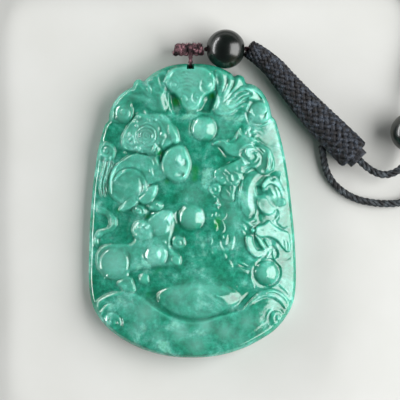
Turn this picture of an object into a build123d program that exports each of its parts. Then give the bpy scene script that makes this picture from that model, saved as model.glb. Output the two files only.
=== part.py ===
from build123d import *
import math
import os

# Jade pendant carved with a bat, a monkey, a rat and a dragon, on its knotted and braided neck cord.
# The plaque lies on its flat back. Its middle is the origin, +Y runs to its top, +Z is the carved front.

# Plaque: one piece of jade
PLAQUE_WIDTH = 42.7
PLAQUE_HEIGHT = 60.0
GROUND_THICKNESS = 6.2
FRONT_RADIUS = 68.0
FRONT_ROUND = 1.0
BACK_ROUND = 0.8
NOTCH_ROUND = 0.8
RELIEF_RISE = 1.0
RELIEF_ROOT = 2.0
RIDGE_RADIUS = 0.75

# Tunnel at the plaque's top edge, a bore that turns back on itself, for the hanging loop
LOOP_DIAMETER = 1.0
LOOP_CLEARANCE = 0.2
LOOP_BEND = 1.35
TUNNEL_HEIGHT = 2.9
TUNNEL_DEPTH = 1.0
SLOT_DEPTH = 1.3

# Knot, wound of cord, which lies across the plaque's top edge
KNOT_LENGTH = 6.6
KNOT_WIDTH = 3.4
KNOT_THICKNESS = 5.0
KNOT_ROUND = 0.6
KNOT_FLAT = 0.8
KNOT_GAP = 0.9
KNOT_LEFT = -3.7
KNOT_HEIGHT = 3.3

# Drilled beads: the first lies beside the knot on a thread, the second is on the neck cord
BEAD_DIAMETER = 8.0
BEAD_CLEARANCE = 0.4
BEAD_SPACING = 0.3
BEAD_SINK = 1.0
BORE_ROUND = 0.25
THREAD_DIAMETER = 1.0
FLOOR_CLEARANCE = 0.05

# Neck cord, and the dark winding that it leaves the braid through
CORD_DIAMETER = 1.6
WINDING_DIAMETER = 4.4
WINDING_LENGTH = 1.7
SOCKET_CLEARANCE = 0.05

HALF_WIDTH = PLAQUE_WIDTH / 2
HALF_HEIGHT = PLAQUE_HEIGHT / 2

os.makedirs("parts", exist_ok=True)

# Right flank of the plaque's outline, a chain of tangent arcs from its foot to its shoulder
# across: share of the half width, up: share of the half height
FLANK = [
    (0.000, -1.000),
    (0.585, -0.907),
    (0.885, -0.743),
    (0.976, -0.607),
    (1.000, -0.367),
    (0.955, 0.073),
    (0.857, 0.517),
    (0.688, 0.733),
]

# Round lobe of the bat's wing that stands out of the outline, one on each side, as shares of the half width
# and, for LOBE_UP, of the half height
LOBE_ACROSS = 0.526
LOBE_UP = 0.675
LOBE_RADIUS = 0.247
# Small knob on top of the lobe: its angle about the lobe's centre, and how far it is sunk into the lobe
KNOB_RADIUS = 0.066
KNOB_ANGLE = 98.7
KNOB_SINK = 0.036
# Where the arc of the plaque's top ends, just inside the lobe and under the knob
CROWN_ANGLE = 91.4
CROWN_SINK = 0.008

# Raised fields of the carving, each a closed curve through (across, up) shares, with its rise
# rise: share of RELIEF_RISE
FIELDS = {
    "right wing": (0.65, [
        (0.07, 0.93), (0.27, 0.91), (0.44, 0.86), (0.60, 0.77), (0.74, 0.66), (0.76, 0.58),
        (0.64, 0.57), (0.52, 0.69), (0.34, 0.68), (0.13, 0.76),
    ]),
    "left wing": (0.65, [
        (-0.07, 0.93), (-0.27, 0.91), (-0.44, 0.86), (-0.60, 0.77), (-0.74, 0.66), (-0.76, 0.58),
        (-0.64, 0.57), (-0.52, 0.69), (-0.34, 0.68), (-0.13, 0.76),
    ]),
    "monkey": (0.6, [
        (-0.56, 0.57), (-0.35, 0.61), (-0.14, 0.55), (-0.15, 0.44), (-0.27, 0.38), (-0.30, 0.22),
        (-0.42, 0.10), (-0.42, 0.01), (-0.60, 0.00), (-0.74, 0.10), (-0.76, 0.26), (-0.64, 0.40),
    ]),
    "rat": (0.55, [
        (-0.86, -0.26), (-0.66, -0.20), (-0.50, -0.12), (-0.38, -0.05), (-0.22, -0.01), (-0.16, -0.14),
        (-0.20, -0.30), (-0.34, -0.38), (-0.56, -0.40), (-0.78, -0.42), (-0.88, -0.36),
    ]),
    "dragon": (0.6, [
        (0.24, 0.44), (0.38, 0.47), (0.52, 0.52), (0.64, 0.48), (0.79, 0.38), (0.78, 0.24),
        (0.64, 0.14), (0.70, 0.00), (0.86, -0.08), (0.93, -0.20), (0.82, -0.31), (0.62, -0.27),
        (0.52, -0.15), (0.40, 0.02), (0.22, 0.06), (0.17, 0.18), (0.28, 0.30),
    ]),
}

# Round bosses of the carving
# across, up: centre, radius: share of the half width, rise: share of RELIEF_RISE
BOSSES = [
    (0.137, 0.556, 0.127, 1.45),  # upper pearl
    (-0.004, -0.043, 0.130, 1.15),  # middle pearl
    (0.726, -0.430, 0.122, 1.45),  # lower pearl
    (0.000, 0.850, 0.180, 1.35),  # bat's brow
    (0.000, 0.728, 0.090, 1.45),  # bat's snout
    (-0.190, 0.858, 0.055, 1.50),  # bat's left ear
    (0.175, 0.858, 0.055, 1.50),  # bat's right ear
    (-0.640, 0.670, 0.080, 1.05),  # curl of the left wing
    (0.660, 0.663, 0.094, 1.05),  # curl of the right wing
    (-0.467, 0.533, 0.185, 1.15),  # monkey's head
    (-0.412, 0.509, 0.105, 1.60),  # monkey's face
    (-0.257, 0.645, 0.060, 1.10),  # mane, upper lock
    (-0.146, 0.563, 0.060, 1.10),  # mane, middle lock
    (-0.173, 0.443, 0.060, 1.10),  # mane, lower lock
    (-0.190, 0.322, 0.108, 1.25),  # peach, left cheek
    (-0.086, 0.318, 0.118, 1.20),  # peach, right cheek
    (-0.375, 0.319, 0.090, 1.20),  # monkey's shoulder
    (-0.593, 0.152, 0.155, 1.25),  # monkey's haunch
    (-0.806, 0.408, 0.075, 1.05),  # curl of the monkey's tail
    (-0.350, 0.033, 0.060, 1.25),  # monkey's hand
    (-0.356, -0.171, 0.110, 1.35),  # rat's head
    (-0.227, -0.077, 0.070, 1.35),  # rat's ear
    (-0.357, -0.288, 0.095, 1.25),  # rat's cheek
    (-0.742, -0.343, 0.125, 1.15),  # rat's haunch
    (-0.129, -0.213, 0.058, 1.10),  # ball below the middle pearl
    (-0.462, -0.463, 0.048, 0.95),  # ball on the cloud band
    (-0.620, -0.510, 0.080, 0.80),  # rat's foot
    (0.398, 0.261, 0.110, 1.30),  # dragon's brow
    (0.225, 0.141, 0.052, 1.30),  # dragon's nose
    (0.356, 0.113, 0.086, 1.30),  # dragon's cheek
    (0.565, 0.382, 0.086, 1.30),  # spiral of the dragon's crest
    (0.800, 0.124, 0.090, 1.15),  # upper claw
    (0.766, -0.178, 0.120, 1.10),  # lower claw
    (-0.742, -0.758, 0.068, 1.00),  # left curl of the cloud band
    (0.818, -0.740, 0.076, 1.00),  # right curl of the cloud band
]

# Ridges of the carving, each a list of (across, up) shares
RIDGES = {
    "cloud band, left arch": [
        (-0.89, -0.69), (-0.85, -0.60), (-0.75, -0.57), (-0.57, -0.567), (-0.40, -0.61), (-0.30, -0.67),
        (-0.17, -0.72),
    ],
    "cloud band, right arch": [
        (0.52, -0.66), (0.62, -0.59), (0.72, -0.55), (0.83, -0.56), (0.89, -0.61), (0.905, -0.665),
    ],
    "cloud band, left roll": [
        (-0.72, -0.66), (-0.58, -0.64), (-0.37, -0.71), (-0.17, -0.78), (0.05, -0.81),
    ],
    "cloud band, right roll": [
        (0.20, -0.81), (0.42, -0.79), (0.60, -0.74), (0.70, -0.68), (0.76, -0.635),
    ],
    "tail": [
        (-0.75, 0.39), (-0.81, 0.28), (-0.855, 0.15), (-0.83, 0.03),
    ],
    "monkey's back": [
        (-0.66, 0.33), (-0.74, 0.23), (-0.76, 0.11), (-0.69, 0.02),
    ],
    "rat's tail": [
        (-0.80, -0.02), (-0.735, -0.08), (-0.80, -0.13), (-0.88, -0.16), (-0.925, -0.24),
    ],
    "dragon's crest": [
        (0.25, 0.455), (0.36, 0.465), (0.45, 0.50), (0.50, 0.54),
    ],
    "dragon's mane": [
        (0.54, 0.50), (0.64, 0.48), (0.74, 0.41), (0.78, 0.31), (0.75, 0.25),
    ],
    "dragon's neck": [
        (0.64, 0.23), (0.56, 0.16), (0.555, 0.04), (0.62, -0.04),
    ],
    "upper foreleg": [
        (0.67, 0.16), (0.78, 0.19), (0.87, 0.12),
    ],
    "lower foreleg": [
        (0.63, -0.11), (0.76, -0.07), (0.87, -0.15), (0.91, -0.26),
    ],
    "dragon's beard": [
        (0.27, -0.05), (0.31, -0.12), (0.27, -0.18), (0.32, -0.25), (0.37, -0.31),
    ],
    "left wing rib": [
        (-0.56, 0.82), (-0.68, 0.75), (-0.745, 0.66), (-0.755, 0.60),
    ],
    "right wing rib": [
        (0.36, 0.73), (0.46, 0.80), (0.56, 0.80), (0.66, 0.75),
    ],
}

# Big smooth spindle that lies across the plaque's foot
# across, up: centre, length: share of PLAQUE_WIDTH, axis: share of GROUND_THICKNESS, rise: share of RELIEF_RISE
SPINDLE_ACROSS = 0.05
SPINDLE_UP = -0.615
SPINDLE_LENGTH = 0.41
SPINDLE_AXIS = 0.25
SPINDLE_RISE = 1.55

# Sections of the braid after its start: centre x, y, z, half width, half thickness
BRAID = [
    (15.9, 30.6, 3.1, 2.4, 2.4),
    (19.9, 25.7, 2.7, 2.7, 2.5),
    (24.6, 20.2, 2.8, 3.1, 2.6),
    (29.2, 15.4, 3.0, 3.4, 2.8),
    (33.2, 11.3, 3.0, 3.5, 2.8),
]
BRAID_START = (12.0, 33.0)
BRAID_START_WIDTH = 4.2

# Where the second bead lies on its run of the neck cord
END_BEAD_SHARE = 0.55

# Route of the neck cord, from the braid's winding through the second bead, round and back to the braid
NECK_ROUTE = [
    (34.39, 10.08, 3.0), (37.27, 7.13, 3.0), (41.6, 7.0, 2.8), (44.65, 10.05, 4.05), (44.8, 20.2, 4.05),
    (45.6, 28.8, 1.6), (46.2, 36.0, 0.85), (46.0, 42.4, 0.85), (42.2, 46.3, 0.85), (33.5, 46.9, 0.85),
    (20.0, 46.4, 0.85), (2.0, 46.9, 0.85), (-15.0, 46.3, 0.85), (-29.0, 46.8, 0.85), (-38.6, 46.2, 0.85),
    (-42.3, 42.5, 0.85), (-42.5, 34.0, 0.85), (-42.2, 18.0, 0.85), (-42.7, 0.0, 0.85), (-42.3, -17.0, 0.85),
    (-42.8, -30.0, 0.85), (-42.5, -38.0, 0.85), (-38.8, -42.0, 0.85), (-30.0, -42.3, 0.85), (-16.0, -41.8, 0.85),
    (-3.0, -42.2, 0.85), (4.5, -42.1, 0.85), (7.7, -45.3, 0.85), (7.7, -49.8, 0.85), (4.5, -53.0, 0.85),
    (0.0, -53.0, 0.85), (-4.2, -48.8, 0.85), (-9.0, -46.2, 0.85), (-16.0, -44.5, 0.85), (-30.0, -44.7, 0.85),
    (-39.9, -44.5, 0.85), (-45.0, -39.2, 0.85), (-45.1, -30.0, 0.85), (-44.5, -17.0, 0.85), (-45.0, 0.0, 0.85),
    (-44.4, 18.0, 0.85), (-44.8, 34.0, 0.85), (-44.7, 43.6, 0.85), (-39.7, 48.5, 0.85), (-29.0, 49.1, 0.85),
    (-15.0, 48.6, 0.85), (2.0, 49.1, 0.85), (20.0, 48.7, 0.85), (33.5, 49.2, 0.85), (43.3, 48.7, 0.85),
    (48.3, 43.6, 0.85), (48.5, 36.0, 0.85), (48.2, 28.2, 0.85), (50.1, 20.7, 0.85), (50.2, 12.0, 0.85),
    (48.0, 5.0, 0.85), (44.2, 1.2, 0.85), (38.6, 1.0, 0.85), (33.0, 2.2, 0.85), (28.9, 5.4, 0.85),
    (27.2, 9.3, 1.0), (26.9, 13.0, 1.5),
]


def ground(x):
    """Height of the plaque's carved ground at a distance x from its middle line."""
    return GROUND_THICKNESS - FRONT_RADIUS + math.sqrt(FRONT_RADIUS**2 - x**2)


def on_lobe(angle, reach):
    """Place at an angle about the centre of the right lobe, and at a share of the half width from it."""
    centre = Vector(LOBE_ACROSS * HALF_WIDTH, LOBE_UP * HALF_HEIGHT)
    return centre + Vector(reach * HALF_WIDTH, 0).rotate(Axis.Z, angle)


def corner_radii(points):
    """Largest smooth arc at each corner of a route: 0.45 of the shorter run over the tangent of half the turn."""
    runs = [Vector(*b) - Vector(*a) for a, b in zip(points, points[1:])]
    return [
        0.45 * min(a.length, b.length) / math.tan(math.radians(a.get_angle(b)) / 2)
        for a, b in zip(runs, runs[1:])
    ]


def tube(points, radius):
    """A round tube along a route of straight runs joined by tangent arcs."""
    with BuildPart() as piece:
        with BuildLine():
            path = FilletPolyline(*points, radius=corner_radii(points))
        with BuildSketch(Plane(origin=path @ 0, z_dir=path % 0)):
            Circle(radius)
        sweep(path=path)
    return piece.part


def barrel(rise):
    """The space between the flat back and a barrel surface that stands above the ground by a rise."""
    reach = 2 * PLAQUE_WIDTH
    with BuildPart() as space:
        with BuildSketch(Plane.XZ):
            Circle(FRONT_RADIUS + rise)
        extrude(amount=PLAQUE_HEIGHT, both=True)
    drop = GROUND_THICKNESS - FRONT_RADIUS
    with BuildPart() as front:
        add(space.part.moved(Location((0, 0, drop))))
        with Locations((0, 0, PLAQUE_WIDTH)):
            Box(reach, 3 * PLAQUE_HEIGHT, 2 * PLAQUE_WIDTH, mode=Mode.INTERSECT)
    return front.part


def field(shares, rise):
    """A raised field of the carving: a closed smooth outline, filled up to a barrel above the ground."""
    with BuildPart() as raised:
        with BuildSketch(Plane.XY.offset(RELIEF_ROOT)):
            with BuildLine():
                Spline(*[(across * HALF_WIDTH, up * HALF_HEIGHT) for across, up in shares], periodic=True)
            make_face()
        extrude(amount=2 * GROUND_THICKNESS)
        add(barrel(rise * RELIEF_RISE), mode=Mode.INTERSECT)
    return raised.part


def boss(across, up, radius, rise):
    """A round stud with a domed top, rooted in the plaque."""
    x, y = across * HALF_WIDTH, up * HALF_HEIGHT
    reach = radius * HALF_WIDTH
    top = ground(x) + rise * RELIEF_RISE
    shoulder = top - min(0.6 * reach, RELIEF_RISE)
    axis_plane = Plane(origin=(x, y, 0), x_dir=(1, 0, 0), z_dir=(0, -1, 0))
    with BuildPart() as stud:
        with BuildSketch(axis_plane):
            with BuildLine():
                crown = TangentArc((0, top), (reach, shoulder), tangent=(1, 0))
                Polyline(crown @ 1, (reach, RELIEF_ROOT), (0, RELIEF_ROOT), (0, top))
            make_face()
        revolve(axis=Axis((x, y, 0), (0, 0, 1)))
    return stud.part


def ridge(shares):
    """A rounded ridge that follows the barrel, with a ball at each end."""
    points = []
    for across, up in shares:
        x, y = across * HALF_WIDTH, up * HALF_HEIGHT
        points.append((x, y, ground(x) + RELIEF_RISE - RIDGE_RADIUS))
    with BuildPart() as roll:
        add(tube(points, RIDGE_RADIUS))
        with Locations(points[0], points[-1]):
            Sphere(1.04 * RIDGE_RADIUS)
    return roll.part


def spindle():
    """The smooth spindle at the plaque's foot: an arc turned about an axis across the plaque."""
    x, y = SPINDLE_ACROSS * HALF_WIDTH, SPINDLE_UP * HALF_HEIGHT
    axis_z = SPINDLE_AXIS * GROUND_THICKNESS
    top = ground(x) + SPINDLE_RISE * RELIEF_RISE - axis_z
    end = GROUND_THICKNESS - axis_z - RELIEF_RISE
    reach = SPINDLE_LENGTH * HALF_WIDTH
    with BuildPart() as turned:
        with BuildSketch(Plane(origin=(x, y, axis_z))):
            with BuildLine():
                ThreePointArc((-reach, end), (0, top), (reach, end))
                Polyline((reach, end), (reach, 0), (-reach, 0), (-reach, end))
            make_face()
        revolve(axis=Axis((x, y, axis_z), (1, 0, 0)), revolution_arc=180)
    return turned.part


def drilled_bead(centre, direction, bore):
    """A round bead with a bore of a given diameter through it."""
    across = Plane(origin=centre, z_dir=direction)
    with BuildPart() as bead:
        with Locations(across):
            Sphere(BEAD_DIAMETER / 2)
            Cylinder(bore / 2, 2 * BEAD_DIAMETER, mode=Mode.SUBTRACT)
        fillet(bead.edges().filter_by(GeomType.CIRCLE), BORE_ROUND)
    return bead.part


# Path of the hanging loop: in from the front slot, round the bend, and out again behind it
knot_y = HALF_HEIGHT + KNOT_GAP + KNOT_WIDTH / 2
knot_flat_y = knot_y - KNOT_WIDTH / 2 + KNOT_FLAT
bend_y = HALF_HEIGHT - TUNNEL_DEPTH
front_z = TUNNEL_HEIGHT + LOOP_BEND
back_z = TUNNEL_HEIGHT - LOOP_BEND
with BuildLine() as loop_path:
    front_strand = Line((0, knot_flat_y, front_z), (0, bend_y, front_z))
    ThreePointArc(front_strand @ 1, (0, bend_y - LOOP_BEND, TUNNEL_HEIGHT), (0, bend_y, back_z))
    Line((0, bend_y, back_z), (0, knot_flat_y, back_z))

# Jade plaque
with BuildPart() as plaque:
    with BuildSketch() as outline:
        with BuildLine():
            places = [(across * HALF_WIDTH, up * HALF_HEIGHT) for across, up in FLANK]
            arcs = []
            heading = (1, 0)
            for start, end in zip(places, places[1:]):
                arcs.append(TangentArc(start, end, tangent=heading))
                heading = arcs[-1] % 1
            shoulder = Line(places[-1], on_lobe(CROWN_ANGLE, LOBE_RADIUS - CROWN_SINK))
            crown = TangentArc((0, HALF_HEIGHT), shoulder @ 1, tangent=(1, 0))
            mirror([*arcs, shoulder, crown], about=Plane.YZ)
        make_face()
        lobe = on_lobe(0, 0)
        with Locations(lobe, (-lobe.X, lobe.Y)):
            Circle(LOBE_RADIUS * HALF_WIDTH)
        knob = on_lobe(KNOB_ANGLE, LOBE_RADIUS + KNOB_RADIUS - KNOB_SINK)
        with Locations(knob, (-knob.X, knob.Y)):
            Circle(KNOB_RADIUS * HALF_WIDTH)
        notches = [v for v in outline.vertices() if v.Y > places[-2][1] + NOTCH_ROUND and abs(v.X) > NOTCH_ROUND]
        fillet(notches, NOTCH_ROUND)
    extrude(amount=2 * GROUND_THICKNESS)
    add(barrel(0), mode=Mode.INTERSECT)
    fillet(plaque.edges().filter_by(lambda rim: rim.bounding_box().max.Z < BACK_ROUND / 2), BACK_ROUND)
    front = plaque.faces().filter_by(GeomType.CYLINDER).sort_by(SortBy.AREA)[-1]
    fillet(front.edges(), FRONT_ROUND)

    # Carving: the broad fields first, then what stands out of them
    add([field(shares, rise) for rise, shares in FIELDS.values()])
    add([boss(*row) for row in BOSSES] + [spindle()])
    add([ridge(shares) for shares in RIDGES.values()])

    # Tunnel and its open slot in the front
    with BuildSketch(Plane(origin=loop_path.line @ 0, z_dir=loop_path.line % 0)):
        Circle(LOOP_DIAMETER / 2 + LOOP_CLEARANCE)
    sweep(path=loop_path.line, mode=Mode.SUBTRACT)
    with BuildSketch(Plane.XY.offset(front_z)):
        with Locations((0, HALF_HEIGHT)):
            SlotOverall(2 * SLOT_DEPTH, LOOP_DIAMETER + 2 * LOOP_CLEARANCE, rotation=90)
    extrude(amount=2 * GROUND_THICKNESS, mode=Mode.SUBTRACT)
plaque.part.label = "jade_plaque"
export_step(plaque.part, "parts/jade_plaque.step")

# Hanging loop, both ends against the knot's flat side
with BuildPart() as hanging_loop:
    with BuildSketch(Plane(origin=loop_path.line @ 0, z_dir=loop_path.line % 0)):
        Circle(LOOP_DIAMETER / 2)
    sweep(path=loop_path.line)
hanging_loop.part.label = "hanging_loop"
export_step(hanging_loop.part, "parts/hanging_loop.step")

# Knot, a rounded bar
with BuildPart() as top_knot:
    with BuildSketch(Plane.YZ.offset(KNOT_LEFT)):
        with Locations((knot_y, KNOT_HEIGHT)):
            Ellipse(KNOT_WIDTH / 2, KNOT_THICKNESS / 2)
    extrude(amount=KNOT_LENGTH)
    fillet(top_knot.edges().filter_by(GeomType.ELLIPSE), KNOT_ROUND)
    with Locations((KNOT_LEFT + KNOT_LENGTH / 2, knot_flat_y - KNOT_WIDTH / 2, KNOT_HEIGHT)):
        Box(2 * KNOT_LENGTH, KNOT_WIDTH, 2 * KNOT_THICKNESS, mode=Mode.SUBTRACT)
top_knot.part.label = "top_knot"
export_step(top_knot.part, "parts/top_knot.step")

# First bead and the thread through it, from the knot's end to the braid's start
bead_x = KNOT_LEFT + KNOT_LENGTH + BEAD_SPACING + BEAD_DIAMETER / 2
bead_y = HALF_HEIGHT - BEAD_SINK + BEAD_DIAMETER / 2
bead_z = FLOOR_CLEARANCE + BEAD_DIAMETER / 2
with BuildPart() as top_bead:
    add(drilled_bead((bead_x, bead_y, bead_z), (1, 0, 0), THREAD_DIAMETER + 2 * BEAD_CLEARANCE))
top_bead.part.label = "top_bead"
export_step(top_bead.part, "parts/top_bead.step")

thread_start = KNOT_LEFT + KNOT_LENGTH
with BuildPart() as bead_thread:
    with BuildSketch(Plane.YZ.offset(thread_start)):
        with Locations((bead_y, bead_z)):
            Circle(THREAD_DIAMETER / 2)
    extrude(amount=BRAID_START[0] - thread_start)
bead_thread.part.label = "bead_thread"
export_step(bead_thread.part, "parts/bead_thread.step")

# Braid: a thick woven band that widens from its start to its wound end
centres = [Vector(BRAID_START[0], BRAID_START[1], bead_z)] + [Vector(*row[:3]) for row in BRAID]
halves = [(BRAID_START_WIDTH / 2, BRAID_START_WIDTH / 2)] + [row[3:] for row in BRAID]
headings = [Vector(1, 0, 0)]
for before, after in zip(centres, centres[2:]):
    headings.append(Vector(after.X - before.X, after.Y - before.Y, 0).normalized())
headings.append(Vector(centres[-1].X - centres[-2].X, centres[-1].Y - centres[-2].Y, 0).normalized())
cord_end, cord_before_end = Vector(*NECK_ROUTE[-1]), Vector(*NECK_ROUTE[-2])
with BuildPart() as braid:
    for centre, (half_width, half_thickness), heading in zip(centres, halves, headings):
        with BuildSketch(Plane(origin=centre, x_dir=(heading.Y, -heading.X, 0), z_dir=heading)):
            Ellipse(half_width, half_thickness)
    loft()
    # Socket for the neck cord's other end
    with BuildSketch(Plane(origin=cord_end, z_dir=cord_before_end - cord_end)):
        Circle(CORD_DIAMETER / 2 + SOCKET_CLEARANCE)
    extrude(amount=(cord_before_end - cord_end).length, mode=Mode.SUBTRACT)
braid.part.label = "braid"
export_step(braid.part, "parts/braid.step")

# Dark winding that closes the braid
with BuildPart() as braid_whipping:
    with BuildSketch(Plane(origin=centres[-1], z_dir=headings[-1])):
        Circle(WINDING_DIAMETER / 2)
    extrude(amount=WINDING_LENGTH)
braid_whipping.part.label = "braid_whipping"
export_step(braid_whipping.part, "parts/braid_whipping.step")

# Neck cord, out of the winding, through the second bead, round and back into the braid
with BuildPart() as neck_cord:
    add(tube(NECK_ROUTE, CORD_DIAMETER / 2))
neck_cord.part.label = "neck_cord"
export_step(neck_cord.part, "parts/neck_cord.step")

bead_run_start, bead_run_end = Vector(*NECK_ROUTE[3]), Vector(*NECK_ROUTE[4])
end_bead_centre = bead_run_start + (bead_run_end - bead_run_start) * END_BEAD_SHARE
with BuildPart() as end_bead:
    add(drilled_bead(end_bead_centre, bead_run_end - bead_run_start, CORD_DIAMETER + 2 * BEAD_CLEARANCE))
end_bead.part.label = "end_bead"
export_step(end_bead.part, "parts/end_bead.step")

radii = corner_radii(NECK_ROUTE)
runs = [(Vector(*b) - Vector(*a)).length for a, b in zip(NECK_ROUTE, NECK_ROUTE[1:])]
length = neck_cord.part.volume / (math.pi * (CORD_DIAMETER / 2) ** 2)
print("neck cord: corner radii", [round(radius, 1) for radius in radii])
print("neck cord: length from the volume", round(length, 1), "runs added up", round(sum(runs), 1))
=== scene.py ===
import math
import random

import bmesh
import bpy
import numpy as np
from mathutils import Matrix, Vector


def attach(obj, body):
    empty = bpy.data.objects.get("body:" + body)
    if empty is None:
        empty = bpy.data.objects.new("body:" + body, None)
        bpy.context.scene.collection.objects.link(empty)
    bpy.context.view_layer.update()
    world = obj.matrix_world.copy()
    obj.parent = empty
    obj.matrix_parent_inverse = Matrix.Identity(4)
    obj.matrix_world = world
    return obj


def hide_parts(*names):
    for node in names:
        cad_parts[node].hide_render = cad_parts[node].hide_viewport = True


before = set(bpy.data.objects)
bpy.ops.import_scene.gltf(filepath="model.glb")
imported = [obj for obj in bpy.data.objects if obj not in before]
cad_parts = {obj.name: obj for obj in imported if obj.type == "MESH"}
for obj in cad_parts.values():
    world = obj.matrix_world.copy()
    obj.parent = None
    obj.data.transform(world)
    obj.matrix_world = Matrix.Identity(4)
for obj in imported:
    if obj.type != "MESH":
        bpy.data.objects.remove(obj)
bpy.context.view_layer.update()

random.seed(7)

# One millimetre of the pendant, in the scene's metres
MM = 0.001

# The camera: what it looks down at, how far above, the width that it sees there, and its turn in radians
CAMERA_TARGET = (1.705 * MM, 2.183 * MM, 4.0 * MM)
CAMERA_DISTANCE = 400 * MM
VIEW_WIDTH = 81.77 * MM
PENDANT_LEAN = 0.00852
SENSOR = 36.0

# Length of one wave of the wave texture at scale 1
WAVE_LENGTH = 2 * math.pi / 20

# Route of the neck cord in metres, from the braid's winding through the second bead and round to the braid
NECK_ROUTE = [
    (0.03439, 0.01008, 0.0030), (0.03727, 0.00713, 0.0030), (0.0416, 0.0070, 0.0028),
    (0.04465, 0.01005, 0.00405), (0.0448, 0.0202, 0.00405), (0.0456, 0.0288, 0.0016),
    (0.0462, 0.0360, 0.00085), (0.0460, 0.0424, 0.00085), (0.0422, 0.0463, 0.00085),
    (0.0335, 0.0469, 0.00085), (0.0200, 0.0464, 0.00085), (0.0020, 0.0469, 0.00085),
    (-0.0150, 0.0463, 0.00085), (-0.0290, 0.0468, 0.00085), (-0.0386, 0.0462, 0.00085),
    (-0.0423, 0.0425, 0.00085), (-0.0425, 0.0340, 0.00085), (-0.0422, 0.0180, 0.00085),
    (-0.0427, 0.0, 0.00085), (-0.0423, -0.0170, 0.00085), (-0.0428, -0.0300, 0.00085),
    (-0.0425, -0.0380, 0.00085), (-0.0388, -0.0420, 0.00085), (-0.0300, -0.0423, 0.00085),
    (-0.0160, -0.0418, 0.00085), (-0.0030, -0.0422, 0.00085), (0.0045, -0.0421, 0.00085),
    (0.0077, -0.0453, 0.00085), (0.0077, -0.0498, 0.00085), (0.0045, -0.0530, 0.00085),
    (0.0, -0.0530, 0.00085), (-0.0042, -0.0488, 0.00085), (-0.0090, -0.0462, 0.00085),
    (-0.0160, -0.0445, 0.00085), (-0.0300, -0.0447, 0.00085), (-0.0399, -0.0445, 0.00085),
    (-0.0450, -0.0392, 0.00085), (-0.0451, -0.0300, 0.00085), (-0.0445, -0.0170, 0.00085),
    (-0.0450, 0.0, 0.00085), (-0.0444, 0.0180, 0.00085), (-0.0448, 0.0340, 0.00085),
    (-0.0447, 0.0436, 0.00085), (-0.0397, 0.0485, 0.00085), (-0.0290, 0.0491, 0.00085),
    (-0.0150, 0.0486, 0.00085), (0.0020, 0.0491, 0.00085), (0.0200, 0.0487, 0.00085),
    (0.0335, 0.0492, 0.00085), (0.0433, 0.0487, 0.00085), (0.0483, 0.0436, 0.00085),
    (0.0485, 0.0360, 0.00085), (0.0482, 0.0282, 0.00085), (0.0501, 0.0207, 0.00085),
    (0.0502, 0.0120, 0.00085), (0.0480, 0.0050, 0.00085), (0.0442, 0.0012, 0.00085),
    (0.0386, 0.0010, 0.00085), (0.0330, 0.0022, 0.00085), (0.0289, 0.0054, 0.00085),
    (0.0272, 0.0093, 0.0010), (0.0269, 0.0130, 0.0015),
]
CORD_DIAMETER = 1.6 * MM
CORD_PITCH = 3.6 * MM

# Middle line of the braid in metres, and its half width and half thickness along it in millimetres
BRAID_ROUTE = [
    (0.0120, 0.0330, 0.00405), (0.0159, 0.0306, 0.0031), (0.0199, 0.0257, 0.0027), (0.0246, 0.0202, 0.0028),
    (0.0292, 0.0154, 0.0030), (0.0332, 0.0113, 0.0030),
]
BRAID_SECTIONS = [(2.1, 2.1), (2.4, 2.4), (2.7, 2.5), (3.1, 2.6), (3.4, 2.8), (3.5, 2.8)]
# Its strands each way, the run of a strand in one turn, its radius, and how far it weaves up and down
BRAID_STRANDS = 12
BRAID_PITCH = 21 * MM
BRAID_STRAND = 0.5 * MM
BRAID_WEAVE = 0.26 * MM

# Thin twisted cord of the loop and of the bead's thread: its radius and the length of one twist
THIN_CORD = 0.5 * MM
THIN_PITCH = 1.8 * MM
THREAD_ENDS = [(2.9, 33.0, 4.05), (12.0, 33.0, 4.05)]

# All sizes and places from here to the functions are in millimetres
# The loop's tunnel: places of its cord along the plaque, its levels in front and behind, and its bore
LOOP_STATIONS = [32.5, 31.6, 30.6, 29.7, 29.0]
LOOP_FRONT = 4.25
LOOP_BACK = 1.55
BORE_RADIUS = 0.7
# The slot in front of the tunnel: half its width, its two ends, its floor and a level above the stone
SLOT_HALF = 0.75
SLOT_ENDS = (28.8, 33.6)
SLOT_LEVELS = (4.25, 9.75)

# The knot: its middle, width, half height and half thickness, its turns and the radius of its cord
KNOT_MIDDLE = np.array([-0.4, 33.0, 3.3])
KNOT_WIDTH = 6.6
KNOT_HALF_HEIGHT = 1.3
KNOT_HALF_THICKNESS = 2.5
KNOT_TURNS = 5
KNOT_CORD = 0.66
# The length of one twist of its cord, and half the length of the core that it is wound on
KNOT_TWIST = 1.9
KNOT_CORE = 2.8
# Its stray fibres: how many are tried, their length, and the height on the plaque that they stay above
KNOT_FIBRES = 420
KNOT_FIBRE_LENGTH = 0.6
FIBRES_ABOVE = 31.72
# Radius of a stray fibre, and the length of those on thin cord
FIBRE_RADIUS = 0.026
THIN_FIBRE_RADIUS = 0.022
THIN_FIBRE_LENGTH = 0.5

# The winding on the braid's end: its start, heading in degrees, length, radius, turns and its thread's radius
WINDING_START = (33.2, 11.3, 3.0)
WINDING_HEADING = -45.7
WINDING_LENGTH = 1.7
WINDING_RADIUS = 2.2
WINDING_TURNS = 5
WINDING_THREAD = 0.19
# The length of one twist of its thread, how far it stays from the winding's ends, and where its core lies
WINDING_TWIST = 1.1
WINDING_MARGIN = 0.16
WINDING_CORE = np.array([0.08, 0.85, 1.62])

# The plaque: height of its ground on the middle line, barrel radius of its front, its two roundings
GROUND_THICKNESS = 6.2
FRONT_RADIUS = 68.0
FRONT_ROUND = 1.15
BACK_ROUND = 0.8
# Rings of its front's grid, those on the rounded rim, the rim's share of the reach, how rings crowd
RINGS = 144
RIM_RINGS = 9
RIM_SHARE = 0.05
RING_CROWDING = 0.88
# Edges sharper than this many degrees stay sharp
SMOOTH_BELOW = 65
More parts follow.
